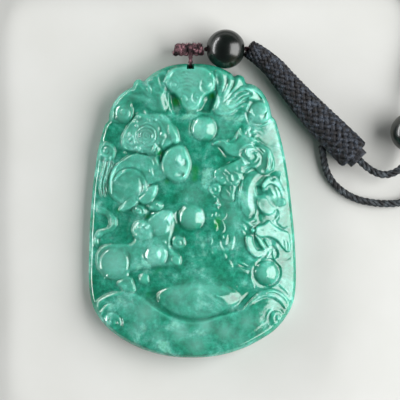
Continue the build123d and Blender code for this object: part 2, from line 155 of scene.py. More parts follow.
# How it is cut: share of the drawn height, of a line's width and rise, of a form's edge, and its curve
CARVED_SHARE = 0.82
LINE_WIDTH_SHARE = 0.9
LINE_RISE_SHARE = 0.66
SHOULDER_SHARE = 0.75
SHOULDER_POWER = 0.6
# Height from which the carving is softly held down, how much more it may rise, its fading at the rim
HELD_FROM = 1.15
HELD_WITHIN = 0.38
RIM_FADE = 0.9
# Depth at which the painted shade of a hollow is darkest, height at which the painted light on a raised form
# is palest, and the foot, where that painted light stays faint
HOLLOW_DEPTH = 0.3
LIT_PALE_HEIGHT = 0.9
FOOT_TOP = -18.0
FOOT_FADE = 3.0
FOOT_LIT_PALENESS = 0.15

# Soft patches: place, reach and strength. The deep green ones lie mostly in recesses and grooves, partly
# painted shade and partly the stone's deeper green; the milky ones are pale clouds in the stone
DEEP_GREEN_AND_SHADE = [
    (-3.0, 22.2, 1.6, 1.0), (4.4, 23.4, 1.0, 1.0), (3.4, 21.5, 1.2, 0.6), (-11.0, 21.2, 1.5, 0.6),
    (-13.0, 17.5, 1.2, 0.6), (4.0, 28.5, 1.6, 0.6), (0.8, 8.5, 1.6, 0.85), (0.6, 6.3, 1.2, 0.7),
    (-5.0, 6.0, 1.2, 0.8), (-6.4, 11.8, 0.9, 0.95), (-2.0, 16.5, 1.6, 0.5), (-13.5, -3.0, 2.4, 0.55),
    (-14.5, -5.6, 1.6, 0.35), (-15.0, 0.2, 1.1, 0.7), (-9.0, -1.1, 1.1, 0.8), (-3.2, -3.8, 1.1, 0.7),
    (5.3, -2.0, 1.4, 0.9), (7.4, -5.6, 0.9, 0.7), (-6.5, -11.7, 1.4, 0.6), (-8.0, -13.0, 1.3, 0.5),
    (-9.0, -17.0, 1.4, 0.7), (-5.0, -20.6, 1.4, 0.6), (0.5, -21.8, 1.8, 0.5), (10.8, -16.6, 1.5, 0.6),
    (-20.2, -17.0, 1.1, 0.7), (-13.5, -26.6, 1.8, 0.5), (13.0, 10.6, 1.0, 0.6), (10.6, 14.0, 1.0, 0.5),
    (-13.2, 4.8, 2.4, 0.45), (2.6, -9.4, 1.8, 0.5), (1.6, -6.2, 1.3, 0.4), (5.0, -3.6, 0.9, 0.6),
    (3.6, -11.8, 1.5, 0.35),
]
MILKY = [
    (-9.6, -20.6, 2.2, 0.8), (-13.5, -18.8, 1.8, 0.5), (-2.6, -24.6, 1.7, 0.9), (2.6, -23.4, 1.5, 0.8),
    (0.8, -27.2, 1.8, 0.7), (-7.0, -25.5, 1.5, 0.5), (6.6, -24.6, 1.7, 0.7), (11.0, -22.6, 1.6, 0.6),
    (9.4, -26.2, 1.4, 0.4), (-11.6, -24.0, 1.4, 0.5), (-3.4, -17.4, 1.6, 0.4), (-10.2, 15.0, 2.8, 0.5),
    (-16.0, -10.4, 2.6, 0.6), (-5.8, -2.4, 1.9, 0.4), (-7.2, -9.0, 2.0, 0.4), (1.5, -18.0, 5.0, 0.35),
    (11.8, 2.0, 1.7, 0.6), (16.5, 14.5, 2.0, 0.4), (0.0, 27.0, 2.4, 0.5), (13.8, 20.0, 2.0, 0.4),
    (0.4, 3.2, 2.4, 0.4), (8.4, -1.6, 2.2, 0.45), (7.0, 2.2, 1.6, 0.35), (9.6, -6.4, 1.6, 0.3),
    (6.4, 17.0, 2.2, 0.3),
]
# Where fine curled fur and fine wrinkles are cut, in the same way
CURLED = [(-10.3, 15.2, 2.9, 0.8), (-8.6, 13.2, 1.5, 0.5), (-7.0, 18.2, 1.8, 0.4)]
WRINKLED = [
    (-2.0, 27.4, 1.6, 0.4), (2.0, 26.2, 1.6, 0.4), (7.2, 7.4, 1.9, 0.5), (9.0, 6.4, 1.2, 0.4),
    (12.5, 15.8, 1.2, 0.8), (-9.8, -3.2, 1.7, 0.6), (-7.6, 10.9, 1.0, 0.5), (-6.9, 1.6, 1.0, 0.5),
    (-10.6, 0.6, 1.1, 0.5), (7.4, 3.6, 1.2, 0.5), (12.0, -2.9, 1.2, 0.6), (16.8, -10.6, 1.2, 0.5),
    (-13.2, -14.6, 1.2, 0.4),
]
# Middle of the curls
FACE_MIDDLE = (-9.1, 15.4)

# Outline of the plaque: its right side from top to foot, and then its left side from foot to top
OUTLINE_RIGHT = [
    (1.5, 29.98), (3.0, 29.9), (4.5, 29.62), (6.0, 29.15), (7.2, 28.62), (8.1, 28.1), (8.5, 27.75),
    (8.75, 27.42), (9.1, 27.45), (9.5, 27.66), (10.0, 27.68), (10.6, 27.4), (11.0, 26.9), (11.15, 26.4),
    (11.3, 26.05), (11.7, 25.92), (12.4, 25.8), (13.3, 25.4), (14.3, 24.6), (15.2, 23.4), (15.9, 22.0),
    (16.3, 20.6), (16.5, 19.6), (16.65, 19.1), (17.0, 18.8), (17.35, 18.3), (17.7, 17.3), (18.2, 15.4),
    (18.8, 13.0), (19.3, 10.4), (19.75, 7.6), (20.1, 5.0), (20.4, 2.0), (20.75, -1.5), (21.05, -5.0),
    (21.25, -9.0), (21.34, -12.5), (21.25, -15.5), (20.95, -18.0), (20.3, -20.0), (19.4, -21.6),
    (18.2, -23.2), (16.4, -24.9), (14.0, -26.4), (11.0, -27.9), (7.8, -29.0), (4.0, -29.75),
]
OUTLINE_LEFT = [
    (0.0, -29.95), (-4.0, -29.75), (-7.8, -29.0), (-11.0, -27.9), (-14.0, -26.4), (-16.4, -24.8),
    (-18.2, -23.1), (-19.4, -21.5), (-20.3, -19.9), (-20.95, -17.9), (-21.25, -15.5), (-21.34, -12.5),
    (-21.25, -9.0), (-21.1, -5.0), (-20.9, -1.5), (-20.6, 2.0), (-20.3, 5.0), (-19.95, 7.6), (-19.55, 10.4),
    (-19.05, 13.0), (-18.4, 15.6), (-17.85, 17.3), (-17.5, 18.0), (-17.1, 18.4), (-16.85, 18.85),
    (-16.8, 19.6), (-16.5, 20.8), (-15.8, 22.2), (-14.9, 23.4), (-13.8, 24.4), (-12.8, 25.05),
    (-12.2, 25.25), (-11.85, 25.5), (-11.75, 25.95), (-11.5, 26.5), (-11.0, 26.9), (-10.4, 26.95),
    (-9.95, 26.72), (-9.55, 26.6), (-9.15, 26.85), (-8.6, 27.4), (-7.6, 28.15), (-6.4, 28.8), (-5.0, 29.4),
    (-3.4, 29.8), (-1.7, 29.97), (0.0, 30.0),
]


def linear(hex_code):
    """A colour written as sRGB hex, as linear red, green, blue and alpha."""
    channels = [int(hex_code[i:i + 2], 16) / 255 for i in (0, 2, 4)]
    return [c / 12.92 if c <= 0.04045 else ((c + 0.055) / 1.055) ** 2.4 for c in channels] + [1.0]


def add_node(material, kind, inputs=None, stops=None, **settings):
    """Adds a shader node. inputs are its values or links, stops are (place, colour) on its colour ramp."""
    node = material.node_tree.nodes.new(kind)
    for name, value in settings.items():
        setattr(node, name, value)
    for name, value in (inputs or {}).items():
        if isinstance(value, bpy.types.NodeSocket):
            material.node_tree.links.new(value, node.inputs[name])
        else:
            node.inputs[name].default_value = value
    if stops:
        elements = node.color_ramp.elements
        while len(elements) < len(stops):
            elements.new(1.0)
        for element, (place, colour) in zip(elements, stops):
            element.position, element.color = place, linear(colour)
    return node


def new_material(name):
    """A material that has no nodes yet."""
    material = bpy.data.materials.new(name)
    material.use_nodes = True
    material.node_tree.nodes.clear()
    return material


def finish_piece(name, piece, material, nodes=()):
    """Gives a finished piece its name, material and slot, and lets it ride and stand for its CAD nodes."""
    piece.name = piece.data.name = name
    piece.data.materials.clear()
    piece.data.materials.append(material)
    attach(piece, "root")
    if nodes:
        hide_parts(*nodes)
    return piece


def mesh_piece(vertices, faces, uvs):
    """A new smooth mesh object from places, faces and a UV pair for each corner of a face."""
    mesh = bpy.data.meshes.new("piece")
    mesh.from_pydata(vertices, [], faces)
    layer = mesh.uv_layers.new(name="along")
    layer.data.foreach_set("uv", np.asarray(uvs, np.float32).ravel())
    mesh.validate()
    piece = bpy.data.objects.new("piece", mesh)
    bpy.context.scene.collection.objects.link(piece)
    piece.data.shade_smooth()
    return piece


def running_length(points):
    """Length walked along a line of points, at each of them."""
    return np.concatenate([[0], np.cumsum(np.linalg.norm(np.diff(points, axis=0), axis=1))])


def length_of(points):
    """Length of a line of points."""
    return float(running_length(points)[-1])


def spline_points(route, spacing):
    """Points along the smooth NURBS line whose control points are a route, at even spacing."""
    curve = bpy.data.curves.new("route", "CURVE")
    curve.dimensions = "3D"
    curve.resolution_u = 24
    spline = curve.splines.new("NURBS")
    spline.points.add(len(route) - 1)
    for point, place in zip(spline.points, route):
        point.co = (*place, 1.0)
    spline.order_u = 3
    spline.use_endpoint_u = True
    holder = bpy.data.objects.new("route", curve)
    bpy.context.scene.collection.objects.link(holder)
    mesh = bpy.data.meshes.new_from_object(holder)
    line = np.array([vertex.co for vertex in mesh.vertices], float)
    bpy.data.objects.remove(holder)
    bpy.data.meshes.remove(mesh)
    steps = np.linalg.norm(np.diff(line, axis=0), axis=1)
    line = line[np.concatenate([[True], steps > 1e-9])]
    along = running_length(line)
    places = np.linspace(0, along[-1], max(2, int(round(along[-1] / spacing)) + 1))
    return np.column_stack([np.interp(places, along, line[:, k]) for k in range(3)])


def carried_frames(points):
    """Heading, side and up vector at each point of a line, carried along it without twist."""
    heading = np.gradient(points, axis=0)
    heading /= np.linalg.norm(heading, axis=1)[:, None]
    side = np.zeros_like(points)
    last = np.array([0.0, 0.0, 1.0])
    for i, ahead in enumerate(heading):
        last = last - ahead * (last @ ahead)
        if np.linalg.norm(last) < 1e-6:
            last = np.cross(ahead, (1.0, 0.2, 0.1))
        last /= np.linalg.norm(last)
        side[i] = last
    return heading, side, np.cross(heading, side)


def strand_mesh(lines, radii, sides):
    """Places, faces and UVs of round strands, closed at both ends. U is the millimetres along a strand."""
    vertices, faces, uvs = [], [], []
    around = np.linspace(0, 2 * math.pi, sides, endpoint=False)
    for line, radius in zip(lines, radii):
        _, side, up = carried_frames(line)
        radius = np.broadcast_to(radius, len(line))
        rings = (
            line[:, None, :]
            + side[:, None, :] * (np.cos(around)[None, :, None] * radius[:, None, None])
            + up[:, None, :] * (np.sin(around)[None, :, None] * radius[:, None, None])
        )
        start = sum(len(block) for block in vertices)
        vertices.append(rings.reshape(-1, 3))
        along = running_length(line) / MM
        for i in range(len(line) - 1):
            for k in range(sides):
                a, b = start + i * sides + k, start + i * sides + (k + 1) % sides
                faces.append((a, b, b + sides, a + sides))
                low, high = k / sides, (k + 1) / sides
                uvs += [(along[i], low), (along[i], high), (along[i + 1], high), (along[i + 1], low)]
        last = start + (len(line) - 1) * sides
        first_cap = range(start + sides - 1, start - 1, -1)
        last_cap = range(last, last + sides)
        for cap, place in ((first_cap, along[0]), (last_cap, along[-1])):
            faces.append(tuple(cap))
            uvs += [(place, 0.5)] * sides
    return np.concatenate(vertices), faces, uvs


def with_core(strands, core):
    """Strands and the core inside them as one mesh: places, faces and UVs."""
    offset = len(strands[0])
    faces = strands[1] + [tuple(i + offset for i in face) for face in core[1]]
    return np.concatenate([strands[0], core[0]]), faces, strands[2] + core[2]


def twisted_lines(points, count, reach, pitch):
    """Middle lines of strands that are twisted round a line of points."""
    _, side, up = carried_frames(points)
    along = running_length(points)
    lines = []
    for k in range(count):
        turn = 2 * math.pi * (along / pitch + k / count)
        lines.append(points + reach * (side * np.cos(turn)[:, None] + up * np.sin(turn)[:, None]))
    return lines


def yarn_material(name, shade, light_shade, glint_and_sheen_tint, ply, roughness):
    """Twisted yarn: dark, with fine slanting plies, so many millimetres apart, and a soft pale sheen. Its
    colour is painted darker between the plies, as shade, and pale with painted fibre glints.

    The dark blotches and the pale ones, which hold the painted glints, are about 1 mm wide.
    """
    material = new_material(name)
    along = add_node(material, "ShaderNodeTexCoord").outputs["UV"]
    slant = add_node(
        material, "ShaderNodeMapping",
        {"Vector": along, "Scale": (WAVE_LENGTH / ply, 3.0, 1.0), "Rotation": (0, 0, 0.5)},
    )
    plies = add_node(
        material, "ShaderNodeTexWave",
        {"Vector": slant.outputs["Vector"], "Scale": 1.0, "Distortion": 1.2, "Detail": 2.0},
        wave_type="BANDS", bands_direction="X",
    )
    place = add_node(material, "ShaderNodeTexCoord").outputs["Object"]
    blotch = add_node(
        material, "ShaderNodeTexNoise", {"Vector": place, "Scale": 1 / (1.111 * MM), "Detail": 3.0},
    )
    mixed = add_node(
        material, "ShaderNodeMath", {0: plies.outputs["Fac"], 1: blotch.outputs["Fac"]}, operation="MULTIPLY",
    )
    # Painted light and shade: dark where the plies dip, as shade in their grooves, and pale with painted
    # fibre glints where a ply's crest meets a pale blotch
    shades = add_node(
        material, "ShaderNodeValToRGB", {"Fac": mixed.outputs[0]},
        stops=[(0.08, shade), (0.4, light_shade), (0.62, glint_and_sheen_tint)],
    )
    bump = add_node(
        material, "ShaderNodeBump", {"Height": plies.outputs["Fac"], "Strength": 0.5, "Distance": 0.08 * MM},
    )
    shader = add_node(
        material, "ShaderNodeBsdfPrincipled",
        {
            "Base Color": shades.outputs["Color"], "Normal": bump.outputs["Normal"], "Roughness": roughness,
            "IOR": 1.55, "Specular IOR Level": 0.3, "Sheen Weight": 0.1, "Sheen Roughness": 0.3,
            "Sheen Tint": linear(glint_and_sheen_tint),
        },
    )
    add_node(material, "ShaderNodeOutputMaterial", {"Surface": shader.outputs["BSDF"]})
    return material


def polished_bead_material():
    """Polished dark agate: near black with a faint green-brown depth, and a glassy gloss.

    Its clouds are about 3 mm wide. The marks of its polish are drawn 0.25 mm wide, coarse enough to show.
    """
    material = new_material("polished dark agate")
    place = add_node(material, "ShaderNodeTexCoord").outputs["Object"]
    cloud = add_node(
        material, "ShaderNodeTexNoise", {"Vector": place, "Scale": 1 / (2.857 * MM), "Detail": 4.0},
    )
    shades = add_node(
        material, "ShaderNodeValToRGB", {"Fac": cloud.outputs["Fac"]},
        stops=[(0.35, "050807"), (0.55, "0B120F"), (0.75, "1E1E12")],
    )
    wear = add_node(
        material, "ShaderNodeTexNoise", {"Vector": place, "Scale": 1 / (0.25 * MM), "Detail": 2.0},
    )
    bump = add_node(
        material, "ShaderNodeBump", {"Height": wear.outputs["Fac"], "Strength": 0.04, "Distance": 0.02 * MM},
    )
    shader = add_node(
        material, "ShaderNodeBsdfPrincipled",
        {
            "Base Color": shades.outputs["Color"], "Normal": bump.outputs["Normal"], "Roughness": 0.24,
            "IOR": 1.54,
        },
    )
    add_node(material, "ShaderNodeOutputMaterial", {"Surface": shader.outputs["BSDF"]})
    return material


def neck_cord(material):
    """The neck cord: three strands twisted round its route, one whole loop from the braid and back."""
    points = spline_points(NECK_ROUTE, 0.45 * MM)
    strand = 0.25 * CORD_DIAMETER
    lines = twisted_lines(points, 3, strand, CORD_PITCH)
    piece = mesh_piece(*strand_mesh(lines, [strand * 1.02] * 3, 7))
    finish_piece("neck_cord_rope", piece, material, ["neck_cord"])


def braid(material):
    """The thick braid: its strands each way cross over and under one another round a soft core."""
    points = spline_points(BRAID_ROUTE, 0.3 * MM)
    heading, _, _ = carried_frames(points)
    share = np.linspace(0, 1, len(points))
    stations = np.linspace(0, 1, len(BRAID_SECTIONS))
    half_width = np.interp(share, stations, [row[0] for row in BRAID_SECTIONS]) * MM
    half_thickness = np.interp(share, stations, [row[1] for row in BRAID_SECTIONS]) * MM
    across = np.cross(heading, (0, 0, 1.0))
    across /= np.linalg.norm(across, axis=1)[:, None]
    up = np.cross(across, heading)
    turns = 2 * math.pi * share * length_of(points) / BRAID_PITCH
    lines, radii = [], []
    for way in (1, -1):
        for k in range(BRAID_STRANDS):
            turn = way * turns + 2 * math.pi * k / BRAID_STRANDS
            lift = way * BRAID_WEAVE * np.cos(BRAID_STRANDS * turns)
            inset = BRAID_STRAND + BRAID_WEAVE - lift
            lines.append(
                points
                + across * (np.cos(turn) * (half_width - inset))[:, None]
                + up * (np.sin(turn) * (half_thickness - inset))[:, None]
            )
            radii.append(BRAID_STRAND * np.interp(share, [0, 0.35, 1], [0.86, 1.0, 1.22]))
    core = strand_mesh([points], [0.72 * half_thickness], 12)
    piece = mesh_piece(*with_core(strand_mesh(lines, radii, 6), core))
    finish_piece("woven_braid", piece, material, ["braid"])


def floor():
    """Plain pale floor under the pendant, of matt paper whose faint grain is drawn 17 mm wide, to show."""
    bpy.ops.object.select_all(action="DESELECT")
    bpy.ops.mesh.primitive_plane_add(size=6, location=(0, 0, 0))
    plane = bpy.context.object
    plane.name = "floor"
    material = new_material("matt pale paper")
    place = add_node(material, "ShaderNodeTexCoord").outputs["Object"]
    grain = add_node(
        material, "ShaderNodeTexNoise", {"Vector": place, "Scale": 1 / (16.67 * MM), "Detail": 4.0},
    )
    shades = add_node(
        material, "ShaderNodeValToRGB", {"Fac": grain.outputs["Fac"]},
        stops=[(0.3, "C0C0BC"), (0.7, "C5C5C2")],
    )
    shader = add_node(
        material, "ShaderNodeBsdfPrincipled", {"Base Color": shades.outputs["Color"], "Roughness": 0.8},
    )
    add_node(material, "ShaderNodeOutputMaterial", {"Surface": shader.outputs["BSDF"]})
    plane.data.materials.append(material)


def soft_panel(name, place, size, power):
    """A rectangular studio light at a place, turned to the pendant. Its power is in watts."""
    light = bpy.data.lights.new(name, "AREA")
    light.shape = "RECTANGLE"
    light.size, light.size_y = size
    light.energy = power
    lamp = bpy.data.objects.new(name, light)
    bpy.context.scene.collection.objects.link(lamp)
    lamp.location = place
    lamp.rotation_euler = (-Vector(place)).to_track_quat("-Z", "Y").to_euler()


def studio():
    """Soft studio light: a big panel low on the right, a thin strip on the upper left and a dim fill."""
    soft_panel("right panel", (0.60, -0.02, 0.38), (0.82, 0.76), 14.0)
    soft_panel("left strip", (-0.80, 0.32, 0.25), (1.4, 0.14), 12.0)
    world = bpy.data.worlds.new("studio air")
    world.use_nodes = True
    world.node_tree.nodes["Background"].inputs["Color"].default_value = linear("B9C4C2")
    world.node_tree.nodes["Background"].inputs["Strength"].default_value = 0.2
    bpy.context.scene.world = world
    bpy.context.scene.view_settings.view_transform = "Standard"


def camera():
    """Camera straight above the pendant, turned so that its top leans a little to the left."""
    data = bpy.data.cameras.new("camera")
    data.sensor_width = SENSOR
    data.lens = SENSOR * CAMERA_DISTANCE / VIEW_WIDTH
    data.clip_start = 0.01
    holder = bpy.data.objects.new("camera", data)
    holder.location = Vector(CAMERA_TARGET) + Vector((0, 0, CAMERA_DISTANCE))
    holder.rotation_euler = (0, 0, -PENDANT_LEAN)
    bpy.context.scene.collection.objects.link(holder)
    bpy.context.scene.camera = holder


def flowing(points, closed=False, samples=6):
    """A smooth line through a few points."""
    points = np.asarray(points, float)
    if len(points) < 3 and not closed:
        return np.linspace(points[0], points[1], samples + 1)
    if closed:
        around = np.vstack([points[-1], points, points[:2]])
    else:
        around = np.vstack([2 * points[0] - points[1], points, 2 * points[-1] - points[-2]])
    line = []
    for before, start, end, after in zip(around, around[1:], around[2:], around[3:]):
        for t in np.arange(samples) / samples:
            line.append(
                0.5 * (2 * start + (end - before) * t + (2 * before - 5 * start + 4 * end - after) * t**2
                       + (3 * start - before - 3 * end + after) * t**3)
            )
    if not closed:
        line.append(points[-1])
    return np.array(line)


def nearest(x, y, line, closed=False):
    """Distance of each place from a line, how far along the line it is as a share, and on which side."""
    if closed:
        line = np.vstack([line, line[:1]])
    place = np.column_stack([x, y])
    best, share, side = np.full(len(x), 1e9), np.zeros(len(x)), np.ones(len(x))
    walked = 0.0
    for start, end in zip(line, line[1:]):
        run = end - start
        length = math.hypot(*run)
        if length < 1e-9:
            continue
        t = np.clip((place - start) @ run / length**2, 0, 1)
        away = np.hypot(*(place - start - t[:, None] * run).T)
        closer = away < best
        best[closer] = away[closer]
        share[closer] = (walked + t * length)[closer]
        side[closer] = np.sign((place[:, 0] - start[0]) * run[1] - (place[:, 1] - start[1]) * run[0])[closer]
        walked += length
    return best, share / walked, side


def inside_of(x, y, line):
    """Which places lie inside a closed line."""
    within = np.zeros(len(x), bool)
    for (x0, y0), (x1, y1) in zip(line, np.roll(line, -1, axis=0)):
        crosses = (y0 > y) != (y1 > y)
        with np.errstate(divide="ignore", invalid="ignore"):
            within ^= crosses & (x < (x1 - x0) * (y - y0) / (y1 - y0) + x0)
    return within


def eased(share):
    """A share from 0 to 1 that starts and ends softly."""
    share = np.clip(share, 0, 1)
    return share * share * (3 - 2 * share)


class Relief:
    """The carving: its height above the plaque's ground at each place of the front, in millimetres."""

    def __init__(self, x, y):
        self.x, self.y = x, y
        self.height = np.zeros(len(x))

    def places_near(self, line, reach):
        """Indices of the places in the box round a line."""
        low, high = line.min(0) - reach, line.max(0) + reach
        return np.flatnonzero(
            (self.x > low[0]) & (self.x < high[0]) & (self.y > low[1]) & (self.y < high[1])
        )

    def places_in(self, points, samples=6):
        """Indices of the places inside a closed smooth outline, how far inside they are, and the outline."""
        line = flowing(points, closed=True, samples=samples)
        near = self.places_near(line, 0)
        near = near[inside_of(self.x[near], self.y[near], line)]
        away, _, _ = nearest(self.x[near], self.y[near], line, closed=True)
        return near, away, line

    def raise_to(self, near, level, soft=0.08):
        """Raises places to a level where they lie lower, with a softly polished crease."""
        h = self.height[near]
        self.height[near] = 0.5 * (h + level + np.sqrt((h - level) ** 2 + soft**2)) - 0.5 * soft

    def form(self, points, rise, edge=0.8, crown=0.0):
        """A raised form inside a closed smooth outline, with a round shoulder and a slightly crowned top."""
        near, away, _ = self.places_in(points)
        shoulder = (1 - (1 - np.clip(away / (SHOULDER_SHARE * edge), 0, 1)) ** 3) ** SHOULDER_POWER
        self.raise_to(near, rise * shoulder + crown * np.clip(away / (3 * edge), 0, 1))

    def sink(self, points, depth, edge=0.8):
        """A hollow inside a closed smooth outline, cut below what is there."""
        near, away, _ = self.places_in(points)
        self.height[near] -= depth * eased(away / edge)

    def plane(self, points, level, tilt_x=0.0, edge=0.35):
        """A flat cut inside a closed outline, that falls off to the right by its tilt."""
        near, away, line = self.places_in(points, samples=4)
        flat = level - tilt_x * (self.x[near] - line[:, 0].mean())
        self.height[near] += eased(away / edge) * (flat - self.height[near])

    def dome(self, x, y, reach, rise, squash=1.0, turn=0.0, fullness=0.5, foot=0.0):
        """A round or oval dome: reach along its turn, squash times that across it."""
        dx, dy = self.x - x, self.y - y
        cosine, sine = math.cos(math.radians(turn)), math.sin(math.radians(turn))
        share = np.hypot(dx * cosine + dy * sine, (dy * cosine - dx * sine) / squash) / reach
        near = np.flatnonzero(share < 1)
        self.raise_to(near, foot + (rise - foot) * (1 - share[near] ** 2) ** fullness)

    def ball(self, x, y, reach, top, steep):
        """A cap of a ball, as steep at its foot as the angle says, whose top is at a level."""
        away = np.hypot(self.x - x, self.y - y)
        near = np.flatnonzero(away < reach)
        radius = reach / math.sin(math.radians(steep))
        self.raise_to(near, top - radius + np.sqrt(radius**2 - away[near] ** 2), soft=0.05)

    def bump(self, x, y, reach, rise):
        """A small round rise on what is there."""
        share = np.hypot(self.x - x, self.y - y) / reach
        near = np.flatnonzero(share < 1)
        self.height[near] += rise * (1 - share[near] ** 2)

    def ring(self, x, y, reach, width, rise):
        """A round ridge, or a round groove where rise is negative."""
        away = np.abs(np.hypot(self.x - x, self.y - y) - reach) / width
        near = np.flatnonzero(away < 1)
        self.height[near] += rise * (1 - away[near] ** 2) ** 1.5

    def line(self, points, width, rise, taper=0.6):
        """A ridge along a smooth line, or a groove where rise is negative, that narrows towards its ends."""
        line, width, rise = flowing(points), LINE_WIDTH_SHARE * width, LINE_RISE_SHARE * rise
        near = self.places_near(line, width)
        away, share, _ = nearest(self.x[near], self.y[near], line)
        fade = 1 - taper + taper * np.sqrt(np.clip(np.sin(math.pi * share), 0, 1))
        share = np.clip(away / (width * fade), 0, 1)
        self.height[near] += rise * fade * (1 - share**2) ** 1.2

    def ridges(self, rows):
        """Ridges, each a row of points, width and rise."""
        for points, width, rise in rows:
            self.line(points, width, rise)

    def grooves(self, rows):
        """Grooves, each a row of points, width and depth."""
        for points, width, depth in rows:
            self.line(points, width, -depth)

    def crest(self, points, width, rise, back):
        """A ridge with a flat slope on the right-hand side of its line and a gentle one behind it."""
        line = flowing(points)
        near = self.places_near(line, max(width, back))
        away, share, side = nearest(self.x[near], self.y[near], line)
        fade = np.sqrt(np.clip(np.sin(math.pi * np.clip(share, 0.02, 0.98)), 0, 1)) ** 0.6
        slope = np.where(side > 0, 1 - away / (width * fade), (1 - np.clip(away / back, 0, 1)) ** 2)
        self.height[near] += rise * fade * np.clip(slope, 0, 1)

    def spiral(self, x, y, reach, turns, start, width, rise):
        """A spiral ridge or groove that runs inwards, anticlockwise where turns is positive."""
        angles = math.radians(start) + 2 * math.pi * turns * np.linspace(0, 1, 12)
        radii = reach * np.linspace(1, 0.25, 12)
        points = np.column_stack([x + radii * np.cos(angles), y + radii * np.sin(angles)])
        self.line(points, width, rise, taper=0.4)


def carve_pearls(relief):
    """Three pearls, each a round dome in a ring-shaped groove."""
    for x, y, reach, rise in [(2.6, 16.7, 2.5, 1.1), (-0.15, -1.4, 2.65, 1.1), (15.2, -12.8, 2.45, 1.05)]:
        relief.ring(x, y, reach + 0.2, 0.45, -0.14)
        relief.ball(x, y, reach, rise, steep=46)


